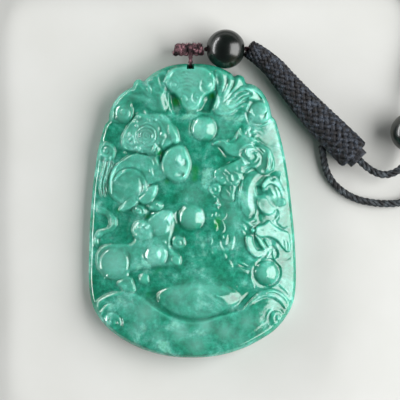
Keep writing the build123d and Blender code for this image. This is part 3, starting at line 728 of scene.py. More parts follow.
def carve_bat(relief):
    """The bat at the top: head with snout and ears, and its wings spread to both sides."""
    relief.form([(-10.5, 27.0), (-12.2, 25.3), (-14.6, 23.6), (-16.2, 21.0), (-16.6, 18.9), (-15.3, 18.0),
                 (-12.6, 18.4), (-11.9, 20.3), (-11.9, 21.9), (-9.6, 21.6), (-8.3, 20.6), (-5.6, 20.2),
                 (-4.6, 21.4), (-5.2, 24.0), (-4.6, 28.0), (-7.5, 28.4)], 0.45, edge=0.9)
    relief.form([(5.4, 28.9), (8.2, 27.8), (9.9, 27.3), (11.0, 26.2), (13.5, 25.0), (15.6, 22.5),
                 (16.4, 19.6), (15.6, 17.6), (13.8, 17.0), (11.9, 18.0), (11.2, 20.0), (9.6, 20.6),
                 (8.0, 19.8), (5.0, 19.6), (4.6, 21.4), (5.3, 24.0), (4.8, 26.6)], 0.45, edge=0.9)
    relief.plane([(12.0, 25.5), (14.1, 24.4), (15.8, 21.9), (16.4, 19.5), (15.6, 17.9), (13.8, 17.3),
                  (12.2, 18.2), (11.4, 20.0), (12.0, 22.2), (12.4, 23.8)], 0.62, tilt_x=-0.22, edge=0.6)
    relief.form([(-4.6, 28.2), (-2.6, 29.3), (0.0, 29.5), (2.6, 29.2), (4.5, 27.9), (5.0, 26.3),
                 (4.7, 24.6), (3.6, 23.7), (2.7, 23.1), (2.1, 22.0), (1.5, 21.0), (0.3, 20.4), (-0.9, 20.6),
                 (-1.7, 21.3), (-2.3, 22.7), (-3.2, 23.7), (-4.5, 24.8), (-5.2, 26.3)], 1.0, edge=0.6,
                crown=0.1)
    relief.sink([(-4.6, 24.1), (-3.0, 24.0), (-2.0, 22.6), (-1.3, 20.8), (-0.2, 20.1), (-0.4, 19.4),
                 (-3.2, 19.2), (-4.2, 20.6), (-4.6, 22.4)], 0.75, edge=0.7)
    relief.sink([(2.4, 23.3), (3.6, 24.1), (4.8, 24.0), (5.0, 22.6), (4.4, 20.6), (3.8, 19.7), (1.2, 20.1),
                 (1.8, 21.4)], 0.85, edge=0.7)
    relief.bump(-4.3, 25.6, 0.7, 0.2)
    relief.bump(-3.0, 25.4, 0.5, 0.15)
    relief.bump(3.6, 25.5, 1.1, 0.08)
    relief.bump(-1.3, 22.9, 0.8, 0.1)
    relief.bump(1.4, 23.0, 1.1, 0.08)
    relief.bump(-1.3, 23.1, 0.3, 0.12)
    relief.bump(-1.4, 21.9, 0.35, 0.14)
    relief.ridges([
        ([(-3.1, 28.5), (-3.8, 28.2), (-4.4, 27.3), (-5.0, 26.8), (-5.4, 26.1)], 0.32, 0.6),
        ([(4.3, 27.2), (4.7, 26.8), (5.0, 26.3)], 0.28, 0.25),
        ([(3.2, 25.1), (3.6, 25.5), (4.1, 25.9)], 0.35, 0.4),
        ([(4.7, 26.0), (4.7, 25.4), (4.4, 24.7)], 0.25, 0.15),
        ([(2.3, 26.8), (1.8, 26.0), (1.7, 25.0), (2.0, 24.3), (2.7, 23.9)], 0.3, 0.2),
        ([(0.2, 23.7), (0.1, 22.9), (0.4, 22.2), (0.9, 21.8)], 0.3, 0.32),
        ([(-1.5, 25.5), (-1.0, 25.9), (-0.5, 25.6)], 0.26, 0.25),
        ([(-3.2, 26.8), (-2.5, 26.3), (-2.2, 25.5)], 0.22, 0.12),
        ([(0.4, 25.4), (0.9, 25.8), (1.4, 25.5)], 0.22, 0.1),
        ([(-1.8, 28.1), (-1.2, 28.4), (-0.4, 28.2)], 0.25, 0.12),
        ([(-2.6, 27.2), (-1.7, 27.5), (-0.8, 27.2)], 0.22, 0.1),
        ([(-0.9, 24.4), (-0.3, 24.8), (0.4, 24.5)], 0.22, 0.1),
        ([(-4.7, 22.9), (-4.5, 21.2), (-4.5, 20.1), (-4.9, 19.1)], 0.25, 0.2),
        ([(3.2, 22.8), (2.5, 22.1), (1.9, 21.0)], 0.3, 0.6),
        ([(5.4, 23.4), (5.4, 22.2), (4.9, 20.7)], 0.4, 0.4),
        ([(1.3, 28.9), (1.7, 28.6)], 0.25, 0.15),
        ([(6.0, 28.7), (6.4, 27.6), (6.7, 26.2), (6.4, 24.6)], 0.6, 0.35),
        ([(8.2, 27.4), (8.1, 26.2), (7.7, 25.0), (7.0, 23.8), (6.5, 22.6)], 0.6, 0.5),
        ([(7.7, 23.6), (7.0, 22.7), (6.1, 22.0)], 0.3, 0.3),
        ([(9.9, 27.0), (9.5, 25.9), (9.0, 25.0), (8.3, 24.2)], 0.5, 0.35),
        ([(8.7, 23.6), (9.9, 24.4), (11.4, 24.8), (12.9, 24.5), (14.0, 23.5), (14.4, 22.7)], 0.36, 0.6),
        ([(13.4, 23.0), (12.3, 23.2), (10.9, 22.9), (9.6, 21.9), (8.3, 21.2), (7.3, 21.4), (7.8, 22.5),
          (9.0, 23.1)], 0.34, 0.65),
        ([(8.2, 21.8), (9.3, 22.6), (10.4, 23.4), (11.8, 23.9)], 0.28, 0.5),
        ([(5.2, 19.6), (7.0, 19.6), (8.6, 20.2), (9.9, 21.2), (10.9, 21.7), (11.6, 21.4), (11.3, 20.6)],
         0.33, 0.6),
        ([(13.0, 17.4), (14.4, 17.2), (15.8, 17.8), (16.7, 18.8)], 0.35, 0.35),
        ([(12.2, 25.1), (14.0, 24.2), (15.4, 22.4), (16.1, 20.2), (16.2, 19.0)], 0.5, 0.25),
        ([(-11.4, 24.6), (-12.8, 24.5), (-14.1, 23.8), (-15.1, 22.8), (-15.8, 21.4), (-16.0, 19.9),
          (-16.1, 18.6)], 0.42, 0.85),
        ([(-6.3, 28.4), (-6.7, 27.5), (-6.6, 26.2), (-6.1, 24.9)], 0.35, 0.28),
        ([(-7.9, 27.9), (-7.7, 26.6), (-7.0, 25.2)], 0.4, 0.28),
        ([(-8.9, 26.2), (-8.5, 25.3), (-8.0, 24.4)], 0.3, 0.6),
        ([(-9.0, 25.1), (-8.6, 24.5), (-8.1, 23.8)], 0.28, 0.55),
        ([(-10.9, 26.2), (-10.1, 25.2), (-9.3, 24.2), (-8.4, 23.2)], 0.5, 0.3),
        ([(-13.2, 23.7), (-11.2, 23.3), (-9.4, 22.9), (-7.6, 22.0)], 0.65, 0.4),
        ([(-15.3, 21.6), (-15.6, 20.7)], 0.25, 0.25),
        ([(-14.6, 21.4), (-15.0, 20.6)], 0.25, 0.25),
    ])
    relief.grooves([
        ([(-5.6, 28.0), (-5.9, 26.2), (-5.4, 24.8)], 0.6, 0.15),
        ([(5.4, 28.0), (5.7, 26.3), (5.6, 24.6)], 0.55, 0.3),
        ([(7.4, 27.9), (7.3, 26.0), (6.4, 23.6)], 0.3, 0.25),
        ([(9.0, 27.2), (8.7, 25.6), (7.7, 23.9)], 0.35, 0.3),
        ([(11.0, 25.9), (9.8, 24.9), (8.5, 23.9), (7.6, 22.6)], 0.3, 0.3),
        ([(12.9, 22.3), (11.4, 22.3), (10.0, 21.4), (8.7, 20.7), (7.2, 20.4)], 0.35, 0.35),
        ([(10.9, 21.9), (12.6, 22.0), (14.4, 22.1), (15.6, 21.6)], 0.45, 0.4),
        ([(11.6, 21.2), (11.3, 19.7), (11.9, 18.2), (13.4, 17.6), (15.0, 17.8), (16.2, 19.0)], 0.3, 0.3),
        ([(-12.4, 24.0), (-10.4, 24.0), (-9.2, 23.6)], 0.3, 0.25),
        ([(-12.2, 22.4), (-10.6, 22.3), (-8.8, 21.7)], 0.4, 0.35),
        ([(2.7, 26.5), (2.4, 25.4), (2.8, 24.5), (3.8, 24.2)], 0.22, 0.2),
        ([(-3.4, 26.3), (-2.7, 25.5), (-2.3, 24.7)], 0.25, 0.22),
        ([(-2.3, 23.4), (-1.6, 23.8), (-0.9, 23.4), (-0.7, 22.8)], 0.22, 0.25),
        ([(3.6, 26.9), (4.2, 27.5), (4.1, 28.2)], 0.3, 0.15),
    ])
    relief.plane([(11.0, 24.7), (12.0, 24.9), (13.1, 24.4), (14.0, 23.5), (14.7, 22.6), (13.9, 22.4),
                  (12.8, 22.5), (11.6, 22.7), (12.5, 23.5), (12.0, 24.1)], 0.78, tilt_x=0.34, edge=0.12)
    relief.sink([(-12.4, 22.0), (-10.6, 22.0), (-9.2, 21.0), (-9.4, 20.1), (-11.0, 20.2), (-11.8, 19.2),
                 (-12.6, 18.0), (-13.8, 17.0), (-14.8, 16.6), (-13.3, 17.4), (-12.1, 19.0), (-12.0, 20.8)],
                0.35, edge=0.9)
    relief.dome(-13.7, 20.0, 1.9, 1.15, squash=1.0, fullness=0.6, foot=0.3)
    relief.spiral(-13.6, 20.1, 1.5, 1.2, -60, 0.28, -0.35)
    relief.line([(-11.9, 20.3), (-12.0, 19.4), (-12.5, 18.7)], 0.3, 0.3)
    relief.ring(13.9, 19.9, 2.3, 0.35, -0.3)
    relief.line([(12.3, 20.7), (12.3, 19.8), (12.9, 19.2)], 0.3, 0.5)
    relief.plane([(13.4, 19.3), (14.3, 18.7), (15.1, 18.8), (15.7, 20.4), (15.1, 19.8), (14.4, 19.5)], 0.6,
                 tilt_x=0.35, edge=0.12)
    for x, y, reach, depth in [
        (1.25, 22.95, 0.4, 0.16), (1.25, 22.95, 0.9, 0.15), (-1.3, 22.7, 0.85, 0.15),
        (3.6, 25.4, 0.95, 0.1), (3.6, 25.4, 1.5, 0.1), (-3.4, 25.6, 0.6, 0.14), (-3.4, 25.6, 1.15, 0.12),
        (1.0, 25.6, 0.55, 0.14),
    ]:
        relief.ring(x, y, reach, 0.24, -depth)
    for y, wide in ((24.5, 0.8), (25.3, 1.3), (26.0, 1.5), (26.7, 1.5), (27.4, 1.3), (28.1, 1.0)):
        relief.line([(-1.0 - wide, y - 0.3), (-1.0, y + 0.1), (-1.0 + wide, y - 0.3)], 0.27, -0.3)
    relief.crest([(-5.4, 20.4), (-5.9, 21.5), (-6.2, 22.7), (-6.2, 23.5), (-6.9, 24.1)], 0.8, 0.45,
                 back=1.4)
    relief.line([(-6.0, 23.6), (-5.5, 24.2), (-5.0, 24.3)], 0.3, 0.4)
    relief.line([(-6.9, 24.1), (-6.3, 23.9), (-5.9, 23.5)], 0.3, 0.3)


def carve_monkey(relief):
    """The monkey at the left, bent over its peach, with its long tail along the plaque's edge."""
    relief.form([(-16.8, 3.6), (-16.8, 6.0), (-16.1, 8.3), (-14.9, 9.8), (-13.6, 11.0), (-11.5, 11.9),
                 (-9.3, 11.5), (-8.0, 10.6), (-7.3, 9.0), (-7.6, 7.2), (-8.6, 5.6), (-9.0, 3.4),
                 (-10.6, 1.6), (-13.0, 1.4), (-15.3, 2.0)], 0.75, edge=1.2)
    relief.form([(-13.9, 12.9), (-14.2, 15.0), (-13.3, 17.0), (-11.9, 18.8), (-10.8, 20.0), (-9.0, 19.8),
                 (-7.0, 20.0), (-5.2, 19.4), (-4.0, 18.0), (-2.9, 16.6), (-2.5, 15.0), (-2.7, 13.8),
                 (-3.9, 13.6), (-5.5, 12.8), (-6.2, 12.0), (-7.0, 11.5), (-8.5, 11.3), (-10.0, 12.0),
                 (-12.0, 12.2), (-13.0, 12.3)], 0.8, edge=0.9)
    relief.dome(-9.6, 15.2, 3.6, 1.15, squash=0.95, fullness=0.8, foot=0.6)
    relief.form([(-4.6, 18.0), (-3.4, 17.0), (-2.5, 15.2), (-2.7, 13.8), (-3.8, 13.7), (-4.4, 14.9),
                 (-4.9, 16.4)], 1.15, edge=1.1)
    relief.form([(-6.1, 10.0), (-5.6, 11.4), (-4.9, 12.4), (-3.8, 13.1), (-2.6, 13.4), (-1.6, 13.1),
                 (-0.9, 12.0), (-0.5, 10.8), (-0.2, 9.5), (-0.5, 8.0), (-1.1, 6.7), (-2.1, 5.9),
                 (-3.4, 5.8), (-4.7, 6.5), (-5.7, 7.6), (-6.1, 8.8)], 1.1, edge=1.1, crown=0.15)
    relief.form([(-10.2, 11.2), (-8.6, 11.3), (-7.3, 11.3), (-6.3, 10.3), (-5.2, 9.0), (-4.8, 7.4),
                 (-5.6, 6.4), (-7.2, 5.9), (-8.8, 5.6), (-10.4, 7.0)], 0.68, edge=0.9)
    relief.dome(-12.9, 4.8, 3.1, 1.05, fullness=0.3, foot=0.2)
    relief.form([(-10.9, 2.4), (-9.6, 3.7), (-8.7, 5.0), (-7.2, 5.3), (-7.1, 4.0), (-7.7, 2.6), (-9.0, 1.5),
                 (-10.2, 1.5)], 1.0, edge=0.7)
    relief.form([(-14.9, 0.2), (-14.2, 1.4), (-12.7, 2.9), (-11.1, 3.3), (-10.7, 1.9), (-12.3, 0.5),
                 (-13.9, -0.1)], 0.95, edge=0.7)
    relief.dome(-10.8, 0.1, 1.4, 0.95, squash=0.85, turn=-20, fullness=0.5, foot=0.2)
    relief.dome(-7.5, 1.1, 1.6, 0.75, squash=0.75, fullness=0.5, foot=0.2)
    relief.ring(-10.9, 0.0, 0.75, 0.26, -0.3)
    relief.dome(-17.4, 12.3, 2.0, 0.95, fullness=0.5, foot=0.1)
    relief.dome(-5.7, 15.4, 0.75, 1.2, fullness=0.6, foot=0.5)
    relief.ridges([
        ([(-14.2, 10.2), (-15.5, 9.0), (-16.3, 7.3), (-16.6, 5.4), (-16.4, 3.5)], 0.42, 0.95),
        ([(-9.6, 11.2), (-8.6, 10.9), (-8.0, 10.2), (-7.7, 9.4)], 0.3, 0.5),
        ([(-7.3, 11.9), (-6.9, 11.1)], 0.28, 0.5),
        ([(-7.4, 10.9), (-7.0, 10.1), (-6.7, 9.3)], 0.3, 0.55),
        ([(-8.2, 9.0), (-8.2, 8.1), (-7.8, 7.1)], 0.36, 0.65),
        ([(-10.3, 16.6), (-9.5, 17.1), (-8.6, 17.1), (-7.7, 16.7), (-7.2, 16.0)], 0.32, 0.4),
        ([(-10.1, 17.5), (-8.9, 17.9), (-7.6, 17.6), (-6.5, 16.6)], 0.3, 0.6),
        ([(-7.7, 15.9), (-7.8, 14.9), (-7.0, 14.3)], 0.35, 0.3),
        ([(-8.8, 13.3), (-7.5, 13.6), (-7.5, 12.7), (-8.2, 12.1), (-9.0, 12.6)], 0.34, 0.75),
        ([(-12.3, 16.1), (-12.9, 15.0)], 0.28, 0.6),
        ([(-11.8, 15.5), (-12.5, 14.4)], 0.28, 0.6),
        ([(-11.8, 15.0), (-11.5, 13.8)], 0.3, 0.5),
        ([(-12.9, 13.9), (-12.1, 13.6), (-11.5, 14.0)], 0.28, 0.5),
        ([(-11.4, 12.9), (-10.6, 12.6), (-10.3, 13.1)], 0.28, 0.6),
        ([(-13.8, 15.0), (-13.7, 13.5)], 0.3, 0.25),
        ([(-5.0, 15.2), (-5.6, 14.5), (-6.1, 13.3)], 0.25, 0.35),
        ([(-4.5, 17.2), (-4.4, 16.0), (-4.7, 15.0)], 0.3, 0.22),
        ([(-6.7, 19.1), (-6.6, 18.2)], 0.25, 0.25),
        ([(-1.6, 13.1), (-1.2, 12.1), (-0.7, 10.9), (-0.4, 9.6), (-0.6, 8.4), (-1.2, 7.3), (-1.8, 6.0)],
         0.35, 0.35),
        ([(-2.9, 6.6), (-2.2, 6.8), (-1.4, 7.1)], 0.32, 0.35),
        ([(-15.7, 6.1), (-14.9, 7.2), (-13.5, 8.1)], 0.3, 0.6),
        ([(-9.3, 3.7), (-9.3, 4.9)], 0.22, 0.2),
        ([(-8.2, 3.0), (-7.7, 4.0), (-7.2, 4.9)], 0.3, 0.25),
        ([(-9.5, 1.3), (-8.6, 1.9), (-7.6, 2.5)], 0.25, 0.4),
        ([(-14.2, 0.4), (-13.6, 1.2)], 0.25, 0.25),
        ([(-13.2, 0.5), (-12.0, 1.1), (-11.3, 2.0)], 0.3, 0.25),
        ([(-9.4, 0.6), (-9.3, -0.4), (-9.9, -1.3)], 0.25, 0.4),
        ([(-6.6, 1.4), (-6.6, 0.5)], 0.22, 0.25),
        ([(-5.8, 1.4), (-6.1, 0.7)], 0.22, 0.3),
        ([(-17.5, 10.8), (-17.8, 9.0), (-18.4, 7.0), (-18.6, 5.0), (-18.5, 3.6), (-18.0, 2.6)], 0.34, 0.75),
        ([(-16.4, 11.4), (-17.1, 8.6), (-17.8, 6.2), (-18.0, 4.4), (-17.6, 2.9)], 0.36, 0.8),
        ([(-15.9, 11.0), (-16.3, 9.0), (-17.2, 7.2), (-17.4, 5.2), (-17.0, 3.4)], 0.3, 0.5),
        ([(-17.2, 13.7), (-16.3, 13.1), (-15.9, 12.0), (-16.0, 10.8)], 0.5, 0.4),
        ([(-18.2, 13.2), (-18.7, 12.2), (-18.5, 11.3)], 0.32, 0.3),
    ])
    relief.grooves([
        ([(-14.0, 12.3), (-12.0, 11.9), (-10.4, 11.9), (-8.8, 11.2)], 0.5, 0.45),
        ([(-6.9, 13.6), (-6.1, 12.4), (-6.2, 11.0), (-6.6, 9.6)], 0.55, 0.7),
        ([(-6.4, 16.9), (-6.2, 16.0)], 0.35, 0.4),
        ([(-5.2, 12.5), (-3.9, 13.4), (-2.5, 13.7), (-1.6, 13.5)], 0.28, 0.35),
        ([(-16.3, 6.2), (-15.3, 7.7), (-13.6, 8.7), (-11.6, 8.7), (-10.0, 7.7), (-9.2, 6.2), (-9.1, 4.9)],
         0.35, 0.55),
        ([(-10.6, 1.5), (-11.4, 2.6), (-10.4, 3.2)], 0.25, 0.3),
        ([(-17.9, 11.0), (-18.3, 10.2)], 0.5, 0.5),
        ([(-1.9, 12.9), (-1.6, 11.7), (-1.2, 10.6)], 0.22, 0.2),
        ([(-3.0, 9.2), (-2.2, 8.6), (-1.4, 8.2)], 0.25, 0.18),
        ([(-11.3, 16.6), (-10.7, 15.4), (-11.0, 14.2)], 0.3, 0.2),
    ])
    for x, y, reach in [
        (-8.5, 18.6, 0.4), (-7.9, 18.6, 0.3), (-7.25, 18.6, 0.42), (-9.1, 20.0, 0.45), (-10.6, 19.2, 0.4),
        (-11.2, 18.2, 0.45), (-11.0, 17.4, 0.35), (-6.0, 19.5, 0.4), (-12.9, 14.1, 0.3), (-11.1, 14.1, 0.3),
        (-10.3, 14.1, 0.3), (-9.7, 13.9, 0.28), (-11.1, 12.8, 0.35), (-10.7, 12.3, 0.32),
        (-11.0, 11.8, 0.3), (-10.1, 12.1, 0.3), (-6.8, 13.7, 0.3), (-6.9, 12.8, 0.28), (-8.1, 0.7, 0.35),
        (-6.9, 1.3, 0.3), (-11.2, 0.5, 0.4), (-10.6, -0.4, 0.4), (-18.3, 0.6, 0.4), (-13.4, 12.9, 0.35),
        (-13.5, 12.0, 0.3),
    ]:
        relief.bump(x, y, 1.1 * reach, 0.34)
    relief.plane([(-11.0, 6.7), (-10.4, 6.5), (-9.9, 5.6), (-9.8, 4.6), (-10.3, 3.6), (-11.1, 2.8),
                  (-10.8, 3.9), (-10.7, 5.0)], 0.7, tilt_x=0.75, edge=0.12)
    relief.plane([(-3.2, 10.2), (-2.9, 11.2), (-2.3, 11.4), (-2.0, 10.4), (-1.3, 10.6), (-0.9, 10.2),
                  (-1.0, 9.3), (-1.7, 8.9), (-2.5, 9.3)], 1.12, tilt_x=0.42, edge=0.12)
    relief.plane([(-3.7, 7.2), (-3.2, 7.9), (-1.6, 7.8), (-1.3, 7.2), (-2.2, 6.7), (-3.2, 6.7)], 0.95,
                 tilt_x=0.42, edge=0.12)
    for reach, depth in ((0.4, 0.26), (0.95, 0.3), (1.5, 0.3), (2.1, 0.22)):
        relief.ring(-9.1, 15.4, reach, 0.27, -depth)
    relief.spiral(-17.3, 12.3, 1.3, 1.2, -40, 0.3, -0.4)


def carve_rat(relief):
    """The rat below the monkey, with the curl of its tail at the left edge."""
    relief.form([(-19.3, -8.0), (-18.0, -6.9), (-15.5, -6.6), (-13.0, -6.7), (-12.0, -6.3), (-11.7, -5.2),
                 (-12.1, -3.4), (-11.4, -2.1), (-10.0, -1.8), (-8.9, -1.9), (-7.8, -0.8), (-6.4, 0.1),
                 (-5.0, 0.2), (-3.9, -0.2), (-3.7, -2.0), (-4.1, -4.0), (-4.3, -6.0), (-4.2, -7.6),
                 (-3.0, -8.6), (-2.3, -9.6), (-2.6, -11.0), (-5.0, -11.2), (-8.0, -11.4), (-10.0, -11.8),
                 (-12.6, -12.2), (-13.4, -13.6), (-15.4, -14.0), (-17.6, -13.6), (-19.2, -12.0),
                 (-19.7, -9.6)], 0.6, edge=0.9)
    relief.form([(-19.4, 1.2), (-17.8, 0.8), (-16.3, -0.3), (-15.3, -1.7), (-15.3, -3.0), (-16.4, -4.1),
                 (-18.0, -4.6), (-18.9, -5.4), (-19.9, -5.0), (-19.2, -3.9), (-17.4, -3.2), (-17.0, -2.0),
                 (-17.6, -0.9), (-19.2, -0.2)], 0.5, edge=0.5)
    relief.sink([(-14.9, -0.2), (-13.2, -0.5), (-12.2, -1.0), (-12.2, -2.2), (-12.7, -3.6), (-12.4, -5.6),
                 (-12.9, -6.3), (-15.0, -6.4), (-17.9, -6.3), (-17.4, -5.2), (-15.7, -4.3), (-14.9, -2.4)],
                0.35, edge=0.9)
    relief.sink([(-9.4, -0.6), (-8.4, 0.3), (-6.8, 0.3), (-7.8, -0.5), (-8.8, -1.6), (-10.0, -1.7)], 0.35,
                edge=0.4)
    relief.dome(-16.0, -10.5, 3.0, 1.15, squash=1.0, fullness=0.36, foot=0.3)
    relief.dome(-10.0, -3.9, 2.2, 1.25, squash=0.95, fullness=0.55, foot=0.5)
    relief.form([(-8.9, -1.8), (-7.6, -0.6), (-6.2, 0.1), (-4.9, 0.1), (-4.0, -0.4), (-4.2, -2.4),
                 (-4.8, -4.2), (-6.2, -5.2), (-7.8, -4.9), (-8.6, -3.4)], 0.95, edge=0.6, crown=0.15)
    relief.ball(-7.3, -9.0, 2.1, 1.45, steep=42)
    relief.ball(-2.75, -6.35, 1.35, 0.8, steep=40)
    relief.ring(-2.6, -6.5, 0.6, 0.24, -0.3)
    relief.ball(-9.9, -13.8, 1.05, 0.8, steep=50)
    relief.form([(-3.9, -9.2), (-3.0, -9.1), (-2.4, -9.9), (-2.7, -11.0), (-3.7, -10.9), (-4.3, -10.1)],
                0.95, edge=0.5)
    relief.form([(-13.4, -13.2), (-12.4, -13.6), (-11.8, -15.0), (-11.7, -16.2), (-13.0, -16.6),
                 (-14.6, -15.8), (-15.3, -14.6), (-14.4, -13.8)], 0.7, edge=0.7)
    relief.ridges([
        ([(-18.9, -4.5), (-19.6, -5.5), (-19.8, -6.7), (-19.2, -7.6)], 0.4, 0.6),
        ([(-16.9, -0.5), (-16.2, -1.5), (-16.2, -2.6), (-16.8, -3.5)], 0.3, 0.6),
        ([(-16.2, -0.6), (-15.6, -1.7), (-15.7, -2.9)], 0.28, 0.5),
        ([(-19.2, -5.4), (-19.5, -6.3), (-19.2, -7.0)], 0.28, 0.35),
        ([(-19.4, -5.7), (-19.3, -6.6)], 0.3, 0.3),
        ([(-18.6, -5.5), (-18.4, -6.1)], 0.3, 0.25),
        ([(-16.9, -8.0), (-18.0, -8.8), (-18.7, -10.2)], 0.25, 0.2),
        ([(-14.2, -8.0), (-13.5, -9.3), (-13.3, -10.8), (-13.6, -12.2)], 0.28, 0.3),
        ([(-16.9, -12.6), (-17.5, -13.4), (-18.2, -13.9)], 0.25, 0.3),
        ([(-11.2, -3.7), (-10.9, -2.7)], 0.32, 0.55),
        ([(-10.4, -3.6), (-9.8, -2.2)], 0.34, 0.6),
        ([(-9.5, -3.6), (-8.7, -2.7)], 0.32, 0.55),
        ([(-11.2, -4.4), (-11.2, -5.2)], 0.25, 0.25),
        ([(-10.6, -4.5), (-10.7, -6.2)], 0.28, 0.22),
        ([(-4.4, -0.8), (-5.1, -1.6), (-5.9, -2.4)], 0.32, 0.6),
        ([(-5.0, -1.6), (-4.6, -2.5)], 0.3, 0.5),
        ([(-3.4, -0.1), (-3.8, -1.5), (-3.9, -3.0), (-4.1, -4.1), (-4.5, -5.1)], 0.25, 0.35),
        ([(-3.5, -1.2), (-3.3, -2.6)], 0.22, 0.25),
        ([(-6.4, -5.4), (-5.7, -5.3)], 0.28, 0.25),
        ([(-7.4, -6.8), (-6.2, -7.3), (-5.5, -8.4), (-5.6, -9.6), (-6.4, -10.6)], 0.28, 0.4),
        ([(-10.4, -8.4), (-10.3, -9.6), (-9.7, -10.8), (-8.5, -11.8)], 0.3, 0.35),
        ([(-9.9, -9.7), (-9.2, -10.7), (-8.3, -11.4)], 0.25, 0.3),
        ([(-4.7, -8.2), (-3.8, -8.2)], 0.28, 0.28),
        ([(-4.3, -9.0), (-3.4, -8.9)], 0.28, 0.28),
        ([(-2.7, -9.2), (-2.4, -10.0), (-2.6, -10.8)], 0.28, 0.3),
        ([(-1.7, -5.8), (-1.6, -6.9)], 0.25, 0.3),
        ([(-13.1, -13.4), (-12.4, -14.0), (-12.7, -15.1)], 0.28, 0.25),
        ([(-13.9, -15.1), (-13.3, -15.7)], 0.28, 0.25),
        ([(-12.2, -15.5), (-12.1, -16.0)], 0.3, 0.25),
        ([(-9.2, -13.2), (-9.0, -14.4)], 0.25, 0.3),
        ([(-6.8, -4.0), (-7.6, -4.0)], 0.28, 0.2),
    ])
    relief.plane([(-7.5, -8.3), (-6.9, -7.9), (-6.1, -8.2), (-6.0, -9.0), (-6.4, -9.8), (-6.9, -9.3),
                  (-7.4, -8.9)], 1.3, tilt_x=0.7, edge=0.12)
    relief.plane([(-6.1, -6.0), (-5.2, -5.9), (-4.8, -6.6), (-5.2, -7.0), (-5.8, -6.5)], 0.75, tilt_x=0.65,
                 edge=0.12)
    relief.plane([(-5.0, -2.8), (-4.5, -2.9), (-4.7, -3.8), (-5.2, -4.5), (-5.6, -4.6), (-5.3, -3.6)], 0.95,
                 tilt_x=0.7, edge=0.12)
    relief.grooves([
        ([(-13.0, -8.5), (-12.7, -10.2), (-13.0, -12.0)], 0.4, 0.25),
        ([(-9.2, -7.6), (-9.8, -9.0), (-9.2, -10.2), (-8.2, -11.0)], 0.25, 0.35),
        ([(-8.6, -2.2), (-7.9, -3.6), (-7.7, -5.2), (-8.6, -6.0)], 0.35, 0.3),
        ([(-4.5, -5.2), (-4.3, -6.3), (-4.6, -7.4)], 0.3, 0.35),
        ([(-5.0, -7.5), (-4.9, -9.2), (-5.4, -10.6)], 0.3, 0.3),
        ([(-8.6, -11.9), (-6.4, -11.6), (-3.4, -11.7)], 0.4, 0.3),
        ([(-19.0, -4.0), (-17.3, -3.3), (-16.9, -2.2), (-17.4, -1.2)], 0.25, 0.25),
    ])


